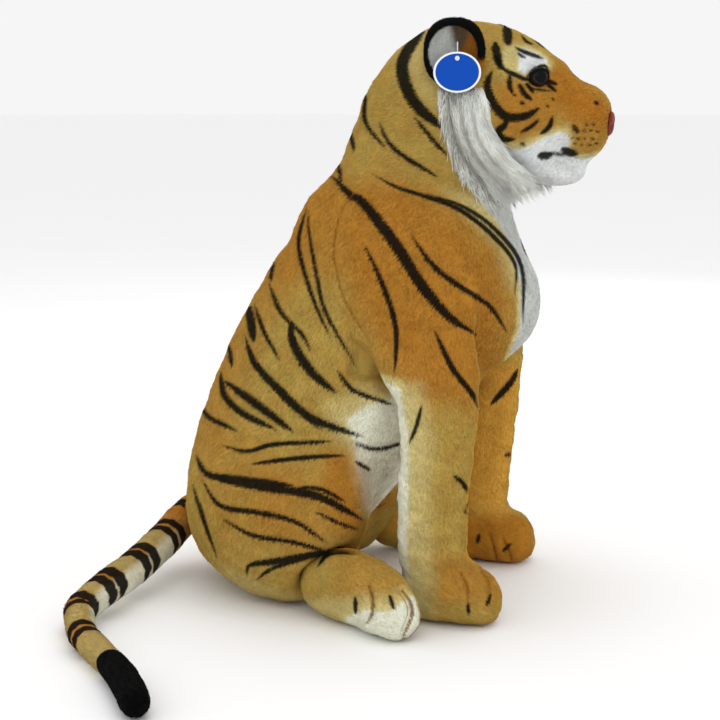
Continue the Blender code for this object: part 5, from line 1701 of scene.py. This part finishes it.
class TIGER_OT_ears(bpy.types.Operator):
    """Cupped ears with black rims and backs, a pale lining and a pale spot behind"""

    bl_idname = "plush_tiger.ears"
    bl_label = "Ears"

    def execute(self, context):
        dish = context.scene.plush_tiger_sizes.ear_dish
        for side, word in SIDES.items():
            ear = word + "_ear"
            rise = ear_axes(side)[2]
            verts, faces = finer(*outward_form(ear_rings(side, dish)))
            pile = {"parts": ((ear + "_pile", everywhere),), "seed": 16 + side, **EAR_TUFT}
            piled_skin(
                ear + "_shell", verts, faces, ear_paint(side), lambda roots: rise + 0.0 * roots,
                (ear, ear + "_lining"), (ear,), None, pile)
        return {"FINISHED"}


def strands(name, line, normals, width, tint, flip=False):
    """Long tapered strands: a three-sided section carried along each row of points, closed at both ends."""
    count, steps = line.shape[0], line.shape[1] - 1
    share = np.linspace(0.0, 1.0, steps + 1)[:-1]
    heading = unit(line[:, 1:] - line[:, :-1])
    side = unit(np.cross(normals[:, None], heading))
    over = np.cross(heading, side)
    half = 0.5 * width * (1.0 - share ** 2.5)[None, :, None]
    body = line[:, :-1]
    corners = np.stack((body + half * side, body - half * side, body + 0.8 * half * over), axis=2)
    verts = np.concatenate((corners.reshape(count, -1, 3), line[:, -1:]), axis=1)
    size = steps * 3 + 1
    last = (steps - 1) * 3
    tip = [(last + (corner + 1) % 3, last + corner, size - 1, -1) for corner in range(3)]
    pattern = np.vstack(((0, 1, 2, -1), ring_walls(steps, 3)[:, (1, 0, 3, 2)], tip))
    if flip:
        pattern = turned_over(pattern)
    faces = np.where(pattern[None] >= 0, pattern[None] + np.arange(count)[:, None, None] * size, -1)
    verts = verts.reshape(-1, 3)
    obj = mesh_object(name, verts, faces.reshape(-1, 4))
    # Painted shade towards a strand's root and painted light at its tip
    level = np.concatenate((np.repeat(0.88 + 0.22 * share, 3), (1.12,)))
    shades = tint[:, None] * level[None, :, None]
    dressed(obj, plush("plush_pile"), np.clip(shades.reshape(-1, 3), 0, 1))
    flat_map(obj, verts, verts)
    return obj


def along_edge(edge, down):
    """Pixels at shares along one of the ruff's edges."""
    line, run = stroke_line(np.array(edge, dtype=float))
    return np.stack([np.interp(down, run, line[:, axis]) for axis in range(2)], axis=1)


def ruff_sheet(forms):
    """The ruff's lie as a grid: rays through pixels between its two edges, met by the head and its pads.

    Across the grid a pixel goes from the back edge to the front edge, and down it from ear to tip. Where a
    ray meets nothing, the grid carries on at the depth of the row above.
    """
    verts, faces = together(forms)
    tree = BVHTree.FromPolygons(verts.tolist(), [tuple(row[row >= 0]) for row in faces])
    down = np.linspace(0.0, 1.0, RUFF_ROWS)
    left = along_edge(RUFF_BACK_EDGE, down)
    right = along_edge(RUFF_FRONT_EDGE, down)
    across = np.linspace(0.0, 1.0, RUFF_COLUMNS)[None, :, None]
    pixels = left[:, None] + across * (right - left)[:, None]
    slant = (pixels - IMAGE_SIDE / 2) / FOCAL_PIXELS
    rays = unit(CAMERA_FORWARD + CAMERA_RIGHT * slant[..., :1] - CAMERA_UP * slant[..., 1:])
    depth = np.full(pixels.shape[:2], np.nan)
    for row, column in np.ndindex(depth.shape):
        place, _, _, distance = tree.ray_cast(Vector(CAMERA_PLACE), Vector(rays[row, column]))
        if place is not None and place.y < RUFF_DEEPEST:
            depth[row, column] = distance
    for row in range(1, RUFF_ROWS):
        gap = np.isnan(depth[row])
        depth[row, gap] = depth[row - 1, gap]
    depth = np.where(np.isnan(depth), np.nanmedian(depth), depth)
    for _ in range(RUFF_SMOOTHING):
        padded = np.pad(depth, 1, mode="edge")
        around = padded[:-2, 1:-1] + padded[2:, 1:-1] + padded[1:-1, :-2] + padded[1:-1, 2:]
        depth = np.minimum(depth, 0.5 * depth + 0.125 * around)
    return CAMERA_PLACE + rays * depth[..., None]


def on_sheet(sheet, across, down):
    """Points of a grid by straight-line shares across and down it, carried on past its sides and end."""
    rows, columns = sheet.shape[:2]
    x = np.clip(across, -0.3, 1.3) * (columns - 1)
    y = np.maximum(down, 0) * (rows - 1)
    left = np.clip(x.astype(int), 0, columns - 2)
    top = np.clip(y.astype(int), 0, rows - 2)
    u = (x - left)[..., None]
    v = (y - top)[..., None]
    upper = sheet[top, left] * (1 - u) + sheet[top, left + 1] * u
    lower = sheet[top + 1, left] * (1 - u) + sheet[top + 1, left + 1] * u
    return upper * (1 - v) + lower * v


def ruff_paint(points, normals):
    """White made brighter than the chest's as painted light, with grey-brown streaks of painted shade along
    its back edge.
    """
    colours = palette()
    streaks = stroke_cover(project(near_side(points)), RUFF_SHADE_STREAKS, soft=3.0)
    # The ruffs' white made brighter than the chest's: painted light
    base = np.broadcast_to(colours["white"] * 1.22, points.shape).copy()
    return laid(base, RUFF_SHADOW, RUFF_SHADE_STRENGTH * streaks)


def ruff_strands(sheet, ending, count, steps, shortest, longest, raised, width, seed):
    """One layer of strands on both sides, gathered into loose locks."""
    rng = np.random.default_rng(seed)
    across = -0.06 + 1.12 * rng.random(count)
    down = 0.01 + 0.89 * rng.random(count) ** 0.9
    length = (shortest + (longest - shortest) * rng.random(count)) / RUFF_FULL_LENGTH * (1.0 - 0.30 * down)
    lock = np.stack((rng.random(RUFF_LOCKS), 1.3 * rng.random(RUFF_LOCKS)), axis=1)
    tip = np.stack((across, down + length), axis=1)
    nearest = ((tip[:, None] - lock[None]) ** 2 * (1.0, 2.5)).sum(axis=-1).argmin(axis=1)
    pull = RUFF_GATHER * rng.random(count)
    drift = pull * (lock[nearest, 0] - across) + 0.09 * rng.standard_normal(count) - 0.02
    drift = drift + 0.10 * ramped(down, 0.45, 0.4) * (across - 0.3)
    share = np.linspace(0.0, 1.0, steps + 1)[None, :]
    line = on_sheet(
        sheet, across[:, None] + drift[:, None] * share ** 1.4, down[:, None] + length[:, None] * share)
    normals = unit(np.array((0.25, -1.0, 0.05)) + 0.15 * rng.standard_normal((count, 3)))
    edge = ramped(np.abs(2.0 * across - 1.0), 0.7, 0.3)
    bulge = np.sin(math.pi * (0.12 + 0.70 * share)) - math.sin(math.pi * 0.12)
    height = raised * (0.7 + 0.6 * rng.random(count)) * (1.0 - 0.7 * edge)
    line = line + (0.0005 + height[:, None] * bulge)[..., None] * normals[:, None]
    tint = ruff_paint(line[:, 2], normals) * (1.0 + 0.06 * rng.standard_normal((count, 1)))
    dark = rng.random(count) < RUFF_DARK_SHARE * ramped(across, 0.40, -0.4)
    tint = np.where(dark[:, None], tint * RUFF_DARK_TINT, tint)
    for side, word in SIDES.items():
        flipped = np.array((1.0, -side, 1.0))
        fur = strands(
            word + "_ruff_" + ending, line * flipped, normals * flipped, width, tint, side == LEFT)
        carried(fur, ("head",), None)


class TIGER_OT_ruffs(bpy.types.Operator):
    """Long-pile cheek ruffs: a soft pad under strands that run down from the ear to the throat"""

    bl_idname = "plush_tiger.ruffs"
    bl_label = "Ruffs"

    def execute(self, context):
        reach = context.scene.plush_tiger_sizes.ruff_length
        pads = {}
        for side, word in SIDES.items():
            ruff = word + "_ruff"
            verts, faces = fused([node_form(ruff)], RUFF_VOXEL)
            verts = relaxed(verts, edges_of(faces), RUFF_ROUNDS)
            verts = verts - RUFF_PAD_SINK * normals_of(verts, faces)
            pads[side] = (verts, faces)
            pad = skin_piece(ruff + "_pad", verts, faces, ruff_paint, (ruff,))
            carried(pad, ("head",), None)
        sheet = ruff_sheet([SKINS["head"], SKINS["body"], pads[RIGHT]])
        for layer, (ending, count, steps, low, high, raised, width) in enumerate(RUFF_LAYERS):
            count = count // 1
            ruff_strands(
                sheet, ending, count, steps, reach * low, reach * high, raised, width, SEED + 20 + layer)
        return {"FINISHED"}


class TIGER_OT_tag(bpy.types.Operator):
    """Finishes the frame's own card, tack and washers"""

    bl_idname = "plush_tiger.tag"
    bl_label = "Tag"

    def execute(self, context):
        pale = np.array((0.75, 0.76, 0.76))
        dark = np.array((0.03, 0.03, 0.03))
        washer = mottled_material(
            "washer_plastic", dark * 0.9, dark, scale=1500.0, roughness=0.4, specular=0.5)
        choices = {
            "hang_tag": tag_material("tag_card", palette()["tag"]),
            "tag_tack": mottled_material(
                "tack_plastic", pale * 0.9, pale, scale=1500.0, roughness=0.3, specular=0.5),
            "right_eye_washer": washer,
            "left_eye_washer": washer,
        }
        for name, material in choices.items():
            for entry in frame["nodes"][name].material_slots:
                entry.material = material
        return {"FINISHED"}


class TIGER_OT_stage(bpy.types.Operator):
    """A plain pale floor, soft studio lights and the photograph's camera"""

    bl_idname = "plush_tiger.stage"
    bl_label = "Stage"

    def execute(self, context):
        links = context.scene.collection.objects.link
        first = np.arange(FLOOR_SIDES)
        turn = turns(FLOOR_SIDES)
        spokes = np.stack((np.cos(turn), np.sin(turn), np.zeros(FLOOR_SIDES)), axis=1)
        verts = np.vstack((FLOOR_RADIUS * spokes, (0.0, 0.0, 0.0))) + FLOOR_CENTRE
        faces = np.stack((
            first, (first + 1) % FLOOR_SIDES, np.full(FLOOR_SIDES, FLOOR_SIDES), np.full(FLOOR_SIDES, -1)
        ), axis=1)
        floor = mesh_object("studio_floor", verts, faces)
        paper = np.full(3, 0.97)
        dressed(floor, mottled_material(
            "studio_paper", paper * 0.985, paper, scale=3.0, roughness=0.9, specular=0.1))
        world = bpy.data.worlds.new("studio_world")
        context.scene.world = world
        world.use_nodes = True
        sky = world.node_tree.nodes["Background"]
        sky.inputs["Color"].default_value = (1.0, 1.0, 1.0, 1.0)
        sky.inputs["Strength"].default_value = SKY_STRENGTH
        for name, place, size, power in SOFTBOXES:
            data = bpy.data.lights.new(name, "AREA")
            data.shape = "SQUARE"
            data.size = size
            data.energy = power
            light = bpy.data.objects.new(name, data)
            light.location = place
            facing = Vector(LIGHT_TARGET) - Vector(place)
            light.rotation_euler = facing.to_track_quat("-Z", "Y").to_euler()
            links(light)
        camera = bpy.data.cameras.new("photo_camera")
        camera.sensor_fit = "HORIZONTAL"
        camera.angle = FIELD_OF_VIEW
        eye = bpy.data.objects.new("photo_camera", camera)
        eye.location = Vector(CAMERA_PLACE)
        eye.rotation_euler = Vector(CAMERA_FORWARD).to_track_quat("-Z", "Y").to_euler()
        links(eye)
        context.scene.camera = eye
        context.scene.view_settings.view_transform = "Standard"
        return {"FINISHED"}


OPERATORS = (
    TIGER_OT_trunk, TIGER_OT_head, TIGER_OT_legs, TIGER_OT_feet, TIGER_OT_tail, TIGER_OT_eyes,
    TIGER_OT_nose, TIGER_OT_ears, TIGER_OT_ruffs, TIGER_OT_tag, TIGER_OT_stage,
)


class TIGER_PT_panel(bpy.types.Panel):
    """Lists the tiger's colours, sizes and pieces"""

    bl_idname = "TIGER_PT_panel"
    bl_label = "Plush Tiger"
    bl_space_type = "VIEW_3D"
    bl_region_type = "UI"
    bl_category = "Plush Tiger"

    def draw(self, context):
        for group in (context.scene.plush_tiger_colours, context.scene.plush_tiger_sizes):
            for name in group.bl_rna.properties.keys():
                if name not in ("rna_type", "name"):
                    self.layout.prop(group, name)
        for operator in OPERATORS:
            self.layout.operator(operator.bl_idname)


CLASSES = (TigerColours, TigerSizes) + OPERATORS + (TIGER_PT_panel,)


def register():
    for entry in CLASSES:
        bpy.utils.register_class(entry)
    bpy.types.Scene.plush_tiger_colours = PointerProperty(type=TigerColours)
    bpy.types.Scene.plush_tiger_sizes = PointerProperty(type=TigerSizes)


def unregister():
    del bpy.types.Scene.plush_tiger_sizes
    del bpy.types.Scene.plush_tiger_colours
    for entry in reversed(CLASSES):
        bpy.utils.unregister_class(entry)


def main():
    """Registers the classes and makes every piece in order."""
    register()
    for operator in OPERATORS:
        group, name = operator.bl_idname.split(".")
        getattr(getattr(bpy.ops, group), name)()


if __name__ == "__main__":
    main()
